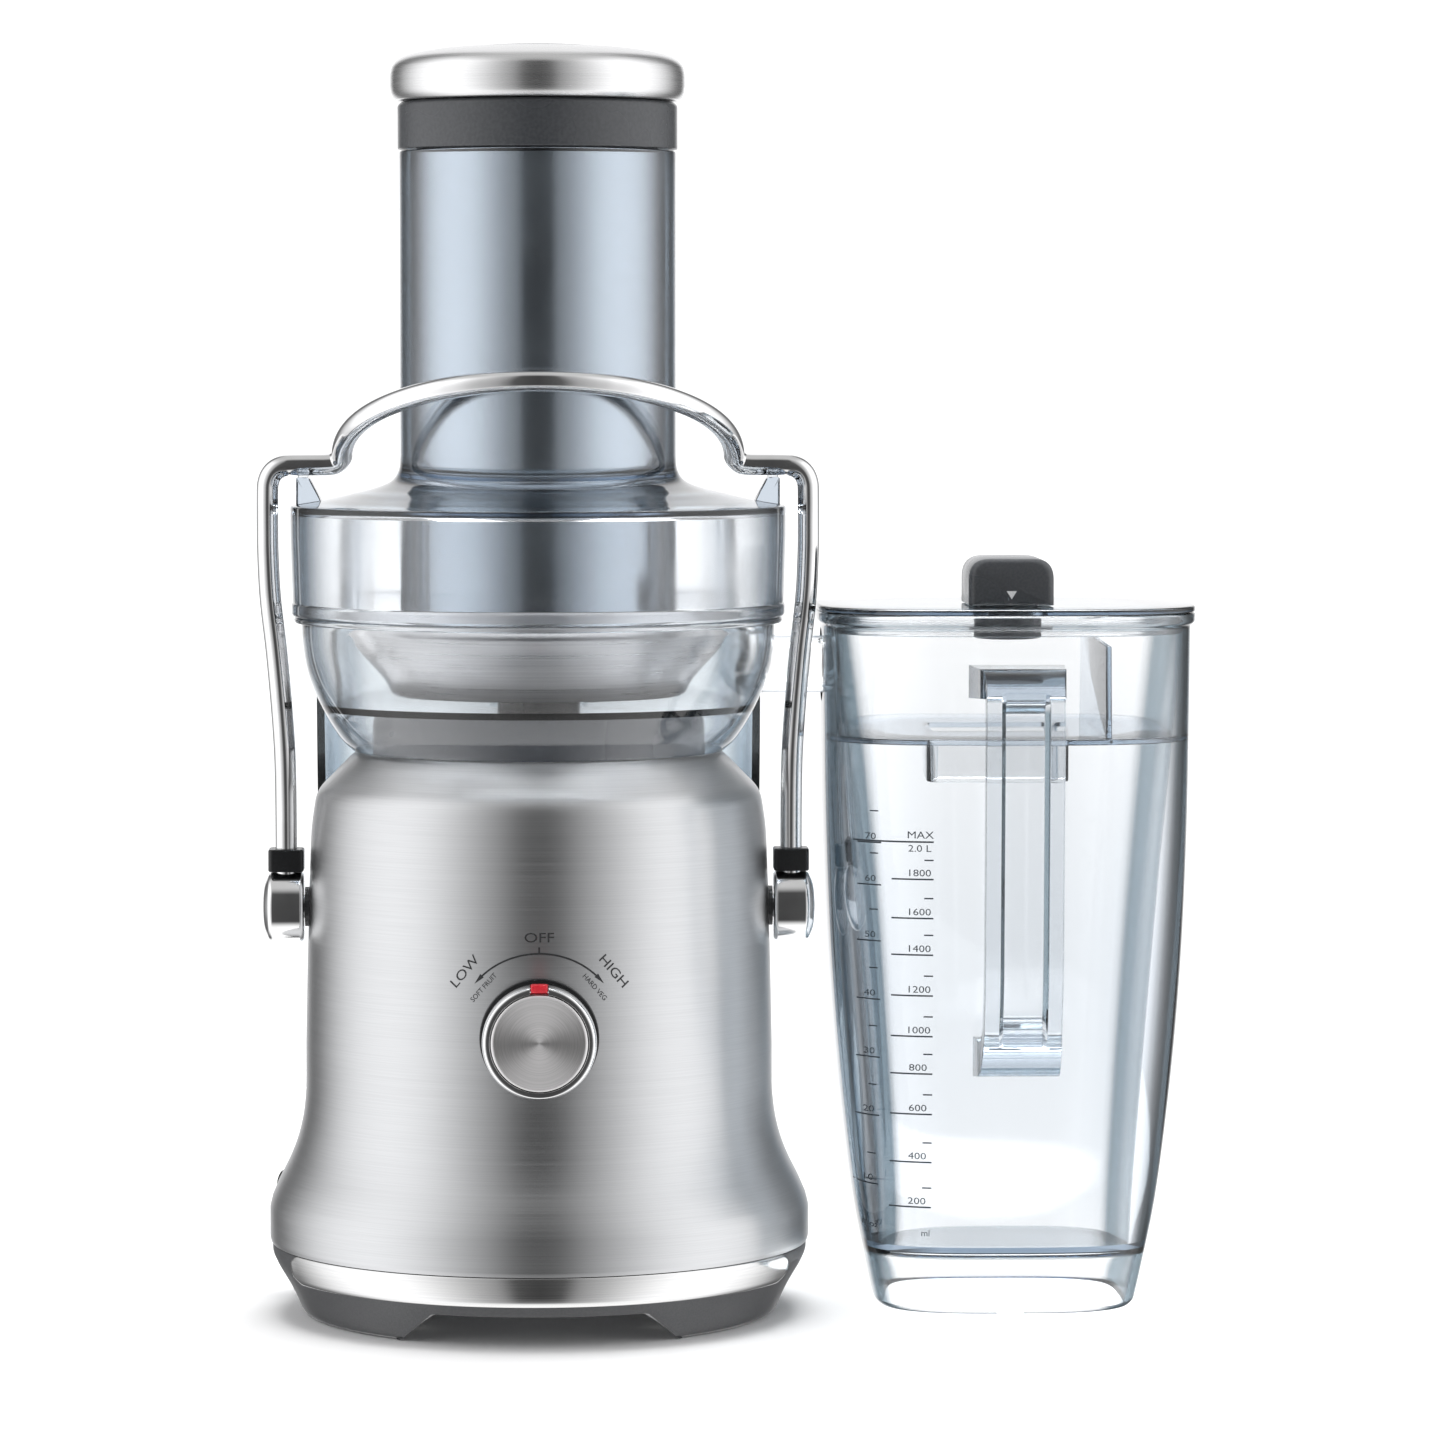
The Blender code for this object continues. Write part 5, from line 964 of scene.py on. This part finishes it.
# %% [markdown]
# ## Juice jug
#
# The jug's section is a rounded square that grows towards the rim. Its outline, share of the height
# against share of the width, is one smooth curve. The same function places the wall, the lid, the
# froth separator and the printed scale, so they all agree.

# %% Jug sections
JUG_HALF, JUG_DEPTH, JUG_TOP, JUG_POWER = 65.4, 0.9, 247.0, 3.2
JUG_CURVE = [(0, 0.708), (0.06, 0.757), (0.166, 0.833), (0.336, 0.908), (0.506, 0.958)]
JUG_CURVE = smooth([*JUG_CURVE, (0.684, 0.985), (0.85, 0.995), (1.0, 1.0)], 6)


def jug_half(height):
    """Half the jug's width at a height."""
    return JUG_HALF * np.interp(np.asarray(height) / JUG_TOP, JUG_CURVE[:, 0], JUG_CURVE[:, 1])


def jug_rings(profile, sides=144):
    """Each (offset, height) becomes the ring |x / a|^p + |y / b|^p = 1, with a and b the half width
    and depth at that height plus the offset."""
    offset, height = np.asarray(profile, float).T
    t = np.linspace(0, 2 * math.pi, sides, endpoint=False)[None]
    c, s = np.cos(t), np.sin(t)
    reach = (np.abs(c) ** JUG_POWER + np.abs(s) ** JUG_POWER) ** (-1 / JUG_POWER)
    a = (jug_half(height) + offset)[:, None]
    b = (jug_half(height) * JUG_DEPTH + offset)[:, None]
    z = np.broadcast_to(height[:, None], (len(height), sides))
    return np.stack([a * c * reach, b * s * reach, z], axis=-1)


def jug_front(x, height, offset=0.0):
    """How far the jug's front stands out at a sideways place and a height."""
    a = jug_half(height) + offset
    b = jug_half(height) * JUG_DEPTH + offset
    return b * (1 - np.abs(x / a) ** JUG_POWER) ** (1 / JUG_POWER)


# %% [markdown]
# The handle is a moulded channel. Its path is a rounded bracket, from the wall below the rim, out and
# down, and back to the wall. A flat section with a groove in its outer face is carried along it, and
# grows wide at both mounts.


# %% Handle
def handle():
    """Row i is the section at place i of the path: u across and v out of the path, in its plane."""
    line = [(-56.5, 224.5), (-96.0, 225.5), (-97.2, 210.0), (-93.0, 118.0), (-82.0, 95.0), (-53.0, 93.0)]
    line = smooth(dense(rounded(line, [0, 16, 10, 40, 26, 0], 12, False), 4.0), 2)
    along = np.linspace(0, 1, len(line))
    t = np.gradient(line, axis=0)
    t /= np.linalg.norm(t, axis=1)[:, None]
    out = np.stack([t[:, 1], -t[:, 0]], axis=1)
    if out[len(out) // 2, 0] > 0:
        out = -out
    mount = np.clip(1 - along / 0.17, 0, 1) ** 1.5
    foot = np.clip((along - 0.78) / 0.22, 0, 1) ** 1.5
    width = 13.4 + 3.4 * mount + 1.2 * foot
    thick = 4.6 + 1.2 * mount + 2.4 * foot
    groove = 0.75 * np.clip((along - 0.2) / 0.06, 0, 1) * np.clip((0.8 - along) / 0.06, 0, 1)
    u = np.array([1, 1, 0.62, 0.5, -0.5, -0.62, -1, -1, -0.5, 0.5])
    v = np.array([-1, 1, 1, 1, 1, 1, 1, -1, -1, -1])
    dip = np.array([0, 0, 0, 1, 1, 0, 0, 0, 0, 0])
    rows_u = width[:, None] * u
    rows_v = thick[:, None] * (v - 1.5 * dip * groove[:, None])
    section = np.stack([rows_u, rows_v], axis=-1)
    a = np.swapaxes(section, 0, 1).reshape(len(u), -1)
    soft = rounded(a, 2.9, 5).reshape(-1, len(line), 2)
    soft = np.swapaxes(soft, 0, 1)
    x = soft[..., 0]
    y = line[:, None, 0] + out[:, None, 0] * soft[..., 1]
    z = line[:, None, 1] + out[:, None, 1] * soft[..., 1]
    return capped(np.stack([x, y, z], axis=-1))


# %% Jug body
JUG_WALL = [(-2.2, 24.2), (-2.2, 244.0), (-2.0, 247.0), (1.6, 247.0), (1.6, 243.6), (0.0, 242.4)]
JUG_WALL += [(0.0, 1.6), (-1.0, 0.0), (-2.6, 0.0), (-2.4, 20.5), (-5.0, 22.0)]
wall = rounded(JUG_WALL, [5, 1, 0.7, 0.8, 0.8, 1.2, 1.2, 0.6, 0.5, 2, 0], 4, False)
floor = np.array([(-30.0, 24.2), (-12.0, 24.2), (-6.0, 24.2)])
wall = np.concatenate([floor, dense(wall[1:], 7.0), [(-14.0, 22.0), (-30.0, 22.0)]])
jug = solid("jug_clear", JUG, capped(jug_rings(wall)))
carve(jug, solid("handle", JUG, handle()), "UNION")
inlet = turned([(0, -90), (13.0, -90), (13.0, -40), (0, -40)], 64, "X")
carve(jug, solid("inlet", JUG + (0, 0, 227.6 * MM), inlet))
arch = turned([(0, 20.0), (4.8, 20.0), (4.8, 75.0), (0, 75.0)], 32, "FRONT")
carve(jug, solid("notch", JUG + (0, 0, 0.5 * MM), arch))
piece(jug, clear_jug, "jug", "jug_body", slot="clear_polycarbonate")

# %% [markdown]
# ## Froth separator, lid and closure
#
# The separator is a plate across the jug with a duct below it and a divider above, and it keeps the
# froth back when juice is poured. The lid seats in the rim. Its dark closure turns on a short plug.

# %% Froth separator
plate = np.array([(-20.0, 202.0), (-2.7, 202.0), (-2.7, 204.0), (-20.0, 204.0)])
separator = solid("froth_plate", JUG, capped(jug_rings(rounded(plate, [0, 0.4, 0.4, 0], 3, False))))
duct = pillow(25.5, 20.0, 186.0, 203.0, 5.0, 0.4) - (3.5, 0, 0)
bore = pillow(23.5, 18.0, 180.0, 210.0, 3.5, 0.2) - (3.5, 0, 0)
carve(separator, solid("duct", JUG, duct), "UNION")
carve(separator, solid("bore", JUG, bore))
divider = pillow(1.0, 47.0, 203.0, 236.0, 0.8, 0.5) + (33.0, 0, 0)
carve(separator, solid("divider", JUG, divider), "UNION")
piece(separator, clear_insert, "jug", "froth_separator", slot="clear_polycarbonate")

# %% Lid
LID = [(-20.0, 247.3), (-4.6, 247.3), (-4.6, 239.8), (-2.8, 239.8), (-2.8, 247.3), (1.6, 247.3)]
LID += [(1.6, 249.5), (-20.0, 249.5)]
LID = rounded(LID, [0, 1, 0.4, 0.4, 0.5, 0.5, 1.0, 0], 4, False)
lid = solid("lid_clear", JUG, capped(jug_rings(LID)))
hole = turned([(0, 230.0), (12.9, 230.0), (12.9, 260.0), (0, 260.0)], 64)
carve(lid, solid("hole", CLOSURE, hole))
piece(lid, clear_jug, "jug_top", "jug_lid", slot="clear_polycarbonate")


# %% Closure
def closure():
    """An arch-shaped section in x and z, carried along y, and drawn in by a quarter circle at each
    end over 2.5 mm."""
    outline = [(-15.0, 249.8), (15.0, 249.8), (15.0, 266.4), (-15.0, 266.4)]
    outline = rounded(outline, [0.6, 0.6, 8.0, 8.0], 10)
    centre = np.array([0, 256.0])
    t = np.linspace(0, math.pi / 2, 6)
    y = np.concatenate([-20.0 + 2.5 * (1 - np.cos(t)), 20.0 - 2.5 * (1 - np.cos(t[::-1]))])
    inset = np.concatenate([2.5 * (1 - np.sin(t)), 2.5 * (1 - np.sin(t[::-1]))])
    rows = centre + (outline - centre) * (1 - inset / 15.0)[:, None, None]
    rows[..., 1] = np.maximum(rows[..., 1], 249.8)
    return along_y(rows, y)


plug = turned(rounded([(0, 236.9), (12.0, 236.9), (12.0, 252.0), (0, 252.0)], [0, 0.8, 0.2, 0], 4, False), 64)
cap = carve(solid("closure_satin", CLOSURE, closure()), solid("plug", CLOSURE, plug), "UNION")
piece(cap, closure_abs, "closure", "lid_closure", slot="dark_grey_plastic")

# %% [markdown]
# ## Printed marks
#
# The dial's words and the jug's scale are screen-printed: ink a few hundredths of a millimetre thick.
# Each mark is drawn flat, as millimetres across, up and out, and one function for each surface then
# wraps it on. The small words say what each speed is for, and the numbers are millilitres and fluid
# ounces.


# %% Flat marks
INK = 0.09


def lettering(words, size, wide=1.0):
    """A word as (points, faces), with its middle at the origin and the ink's thickness along z."""
    curve = bpy.data.curves.new("word", "FONT")
    curve.body, curve.size, curve.extrude, curve.resolution_u = words, size, INK / 2, 3
    curve.align_x, curve.align_y = "CENTER", "CENTER"
    holder = linked("word", curve)
    seen = holder.evaluated_get(bpy.context.evaluated_depsgraph_get())
    mesh = bpy.data.meshes.new_from_object(seen)
    bpy.data.objects.remove(holder)
    points = np.empty(len(mesh.vertices) * 3)
    mesh.vertices.foreach_get("co", points)
    points = points.reshape(-1, 3) * (wide, 1, 1)
    return points, [tuple(face.vertices) for face in mesh.polygons]


def stroke(line, width):
    """A line of even width: a flat section of four corners carried along it."""
    line = np.asarray(line, float)
    t = np.gradient(line, axis=0)
    t /= np.linalg.norm(t, axis=1)[:, None]
    side = np.stack([-t[:, 1], t[:, 0]], axis=1) * width / 2
    u = np.array([-1, 1, 1, -1])[None, :, None]
    flat = line[:, None] + side[:, None] * u
    depth = np.broadcast_to(np.array([-1, -1, 1, 1])[None, :, None] * INK / 2, (len(line), 4, 1))
    grid = capped(np.concatenate([flat, depth], axis=-1))
    return grid.reshape(-1, 3), grid_faces(*grid.shape[:2], False).tolist()


def moved(mark, x, y, turn=0.0):
    """Turns a mark about its middle and moves it."""
    points, faces = mark
    c, s = math.cos(math.radians(turn)), math.sin(math.radians(turn))
    across = points[:, 0] * c - points[:, 1] * s + x
    up = points[:, 0] * s + points[:, 1] * c + y
    return np.stack([across, up, points[:, 2]], axis=1), faces


def printed(name, marks, wrap, look, origin, body):
    """Wraps marks on a surface as one mesh."""
    points, faces, start = [], [], 0
    for flat, corners in marks:
        points.append(wrap(flat) * MM + origin)
        faces += [tuple(i + start for i in face) for face in corners]
        start += len(flat)
    made = merged(name, np.concatenate(points), faces, 1e-6)
    return piece(made, look, body, sharp=30)


# %% Marks round the dial
def on_housing(flat):
    """Across becomes an arc round the axis, at the wall's radius there plus the ink's depth."""
    r = housing_radius(flat[:, 1]) + flat[:, 2] + INK / 2
    a = flat[:, 0] / r
    return np.stack([r * np.sin(a), -r * np.cos(a), flat[:, 1]], axis=1)


def round_dial(mark, radius, turn):
    """Places a mark at a turn from the top of the dial, standing on the circle."""
    t = math.radians(turn)
    return moved(mark, radius * math.sin(t), DIAL_HEIGHT + radius * math.cos(t), -turn)


ARC, WORDS, SMALL_WORDS = 28.9, 34.2, 25.7  # radii of the arc and the words round the dial
sweep = np.radians(np.linspace(-45, 45, 60))
marks = [stroke(np.stack([ARC * np.sin(sweep), DIAL_HEIGHT + ARC * np.cos(sweep)], axis=1), 0.6)]
marks += [stroke([(0, DIAL_HEIGHT + ARC), (0, DIAL_HEIGHT + 30.0), (0, DIAL_HEIGHT + 31.1)], 0.6)]
head = stroke([(-1.9, 0), (0, 0), (1.9, 0)], 1.7)
head[0][:, 1] *= np.clip(1.0 - (head[0][:, 0] + 1.9) / 3.8, 0.03, 1)
marks += [round_dial(head, ARC, 46.5)]
marks += [round_dial((head[0] * (-1, 1, 1), head[1]), ARC, -46.5)]
marks += [moved(lettering("OFF", 4.7, 1.27), 0, DIAL_HEIGHT + WORDS)]
marks += [round_dial(lettering("LOW", 4.7, 1.2), WORDS, -49)]
marks += [round_dial(lettering("HIGH", 4.7, 1.2), WORDS, 49)]
marks += [round_dial(lettering("SOFT FRUIT", 2.5, 0.95), SMALL_WORDS, -48)]
marks += [round_dial(lettering("HARD VEG", 2.5, 0.95), SMALL_WORDS, 48)]
printed("dial_marks", marks, on_housing, black_ink, JUICER, "base")


# %% Scale on the jug
def on_jug(flat):
    """The jug's front at that place, plus the ink's depth."""
    y = jug_front(flat[:, 0], flat[:, 1], flat[:, 2] + INK / 2)
    return np.stack([flat[:, 0], -y, flat[:, 1]], axis=1)


LEVELS = np.array([38.8, 55.0, 72.2, 86.6, 99.9, 114.3, 128.7, 141.6, 155.3])  # 200 to 1800 ml
MOST = 168.4  # 2000 ml
OUNCE = 29.57  # ml
marks = []
for number, height in enumerate(LEVELS):
    line = np.linspace(-43.0, -28.6, 8)
    marks += [stroke(np.stack([line, np.full(8, height)], axis=1), 0.55)]
    marks += [moved(lettering(str(200 * (number + 1)), 3.4, 1.25), -33.6, height + 2.1)]
    half = height + 7.0 if number < 8 else MOST - 6.4
    marks += [stroke([(-31.8, half), (-30.2, half), (-28.6, half)], 0.5)]
marks += [stroke(np.stack([np.linspace(-56.0, -28.6, 14), np.full(14, MOST)], axis=1), 0.6)]
marks += [moved(lettering("MAX", 3.6, 1.2), -33.2, MOST + 2.3)]
marks += [moved(lettering("2.0 L", 3.4, 1.2), -33.4, MOST - 2.4)]
marks += [moved(lettering("ml", 3.2), -30.4, 29.3), moved(lettering("fl oz", 3.0), -49.0, 30.8)]
ounces = np.interp(np.arange(10, 80, 10) * OUNCE, np.arange(200, 2200, 200), [*LEVELS, MOST])
for number, height in enumerate(ounces):
    line = np.linspace(-54.5, -46.6, 6)
    marks += [stroke(np.stack([line, np.full(6, height - 0.6)], axis=1), 0.5)]
    marks += [moved(lettering(str(10 * (number + 1)), 3.2, 1.2), -50.2, height + 1.5)]
    marks += [stroke([(-50.4, height + 10.5), (-49.0, height + 10.5), (-47.6, height + 10.5)], 0.45)]
printed("jug_scale", marks, on_jug, grey_ink, JUG, "jug")


# %% Mark on the closure
def on_closure(flat):
    """The flat front of the closure."""
    return np.stack([flat[:, 0], -20.0 - flat[:, 2] - INK / 2, flat[:, 1]], axis=1)


arrow = stroke([(0, 1.4), (0, 0), (0, -1.4)], 3.6)
arrow[0][:, 0] *= np.clip((arrow[0][:, 1] + 1.4) / 2.8, 0.03, 1)
printed("closure_mark", [moved(arrow, 0, 253.6)], on_closure, white_ink, CLOSURE, "closure")

# %% [markdown]
# ## Studio
#
# Metal and clear plastic show the room, so the room is what makes them look right: two tall soft
# lights at the sides, a dim front with a narrow dark gap, dark panels behind at the sides that give
# the plastic its dark edges, and white behind. The room is a colour by direction round the object.
# Only reflections and shading see it. Straight on, and through the clear plastic, the backdrop is a
# plain white from every side. A large soft light overhead gives the soft shadow on the floor. The
# light and the floor are hidden from reflections.

# %% Room
STRENGTH, BACKDROP, CEILING, GROUND = 1.6, 0.76, 0.4, 0.85


def blended(tree, share, first, level):
    """A colour that goes over to a plain grey level by a share of 0 to 1."""
    feeds = {0: share, 6: first, 7: (level, level, level, 1)}
    return add(tree, "ShaderNodeMix", feeds, data_type="RGBA").outputs[2]


world = bpy.data.worlds.new("studio")
world.use_nodes = True
bpy.context.scene.world = world
tree = world.node_tree
way = add(tree, "ShaderNodeTexCoord").outputs["Generated"]
x, y, z = add(tree, "ShaderNodeSeparateXYZ", {0: way}).outputs
front = add(tree, "ShaderNodeMath", {0: y, 1: -1.0}, operation="MULTIPLY").outputs[0]
aside = add(tree, "ShaderNodeMath", {0: x}, operation="ABSOLUTE").outputs[0]
angle = add(tree, "ShaderNodeMath", {0: aside, 1: front}, operation="ARCTAN2").outputs[0]
share = add(tree, "ShaderNodeMath", {0: angle, 1: math.pi}, operation="DIVIDE").outputs[0]
# Degrees from the front, and brightness of 0 to 1, where 1 is the soft lights.
ROOM = (
    (0, 0.04), (11, 0.06), (18, 0.24), (29, 0.38), (43, 0.62), (52, 0.78), (60, 0.9), (77, 1.0), (97, 0.93),
    (110, 0.76), (121, 0.52), (138, 0.15), (154, 0.07), (163, 0.5), (168, 0.76), (180, 0.76),
)
ramp = add(tree, "ShaderNodeValToRGB", {0: share})
stops = ramp.color_ramp.elements
stops.remove(stops[1])
for degrees, level in ROOM:
    stop = stops[0] if degrees == 0 else stops.new(degrees / 180)
    stop.color = (level, level, level * 1.01, 1)
ceiling = add(tree, "ShaderNodeMapRange", {0: z, 1: 0.7, 2: 0.97}, interpolation_type="SMOOTHSTEP")
mix = blended(tree, ceiling.outputs[0], ramp.outputs[0], CEILING)
ground = add(tree, "ShaderNodeMapRange", {0: z, 1: -0.7, 2: -0.97}, interpolation_type="SMOOTHSTEP")
mix = blended(tree, ground.outputs[0], mix, GROUND)
rays = add(tree, "ShaderNodeLightPath").outputs
bounces = add(tree, "ShaderNodeMath", {0: rays["Glossy Depth"], 1: rays["Diffuse Depth"]}, operation="ADD")
seen = add(tree, "ShaderNodeMath", {0: bounces.outputs[0], 1: 0.5}, operation="LESS_THAN")
mix = blended(tree, seen.outputs[0], mix, BACKDROP)
room = tree.nodes["Background"]
room.inputs["Strength"].default_value = STRENGTH
tree.links.new(mix, room.inputs["Color"])


# %% Lamp, floor and camera
def soft_lamp(name, place, aim, wide, tall, power):
    """A rectangular soft light that looks at a point."""
    lamp = bpy.data.lights.new(name, "AREA")
    lamp.shape, lamp.size, lamp.size_y, lamp.energy = "RECTANGLE", wide, tall, power
    made = linked(name, lamp)
    made.location = place
    made.rotation_euler = facing(place, aim)
    made.visible_glossy = False
    return made


def facing(place, aim):
    """The turn that makes an object's -Z look from a place at a point, with +Y up."""
    away = np.array(place, float) - aim
    flat = math.hypot(away[0], away[1])
    return (math.atan2(flat, away[2]), 0.0, math.atan2(away[0], -away[1]))


soft_lamp("overhead", (0.0, 0.25, 1.6), (0.0, 0.0, 0.0), 1.0, 1.0, 26.0)

FLOOR_RADIUS = 0.62
floor_mesh = bpy.data.meshes.new("floor")
turn = np.linspace(0, 2 * math.pi, 96, endpoint=False)
rim = np.stack([FLOOR_RADIUS * np.cos(turn), FLOOR_RADIUS * np.sin(turn), 0 * turn], axis=1)
floor_mesh.from_pydata(rim, [], [tuple(range(96))])
floor = linked("floor", floor_mesh)
pale, tree, shader = material("paper_pale_matt", Roughness=0.9)
place = add(tree, "ShaderNodeTexCoord").outputs["Object"]
fine = add(tree, "ShaderNodeTexNoise", {"Vector": place, "Scale": 600.0}).outputs["Fac"]
tree.links.new(tinted(tree, fine, "#f8f8f8", "#fafafa"), shader.inputs["Base Color"])
floor_mesh.materials.append(pale)
floor.visible_glossy = False

CAMERA_PLACE, CAMERA_AIM = (-0.067, -2.14, 0.342), (-0.003, -0.040, 0.209)
camera = bpy.data.cameras.new("camera")
camera.lens, camera.sensor_width = 149.0, 36.0
viewer = linked("camera", camera)
viewer.location = CAMERA_PLACE
viewer.rotation_euler = facing(CAMERA_PLACE, CAMERA_AIM)
bpy.context.scene.camera = viewer
bpy.context.scene.view_settings.view_transform = "Standard"
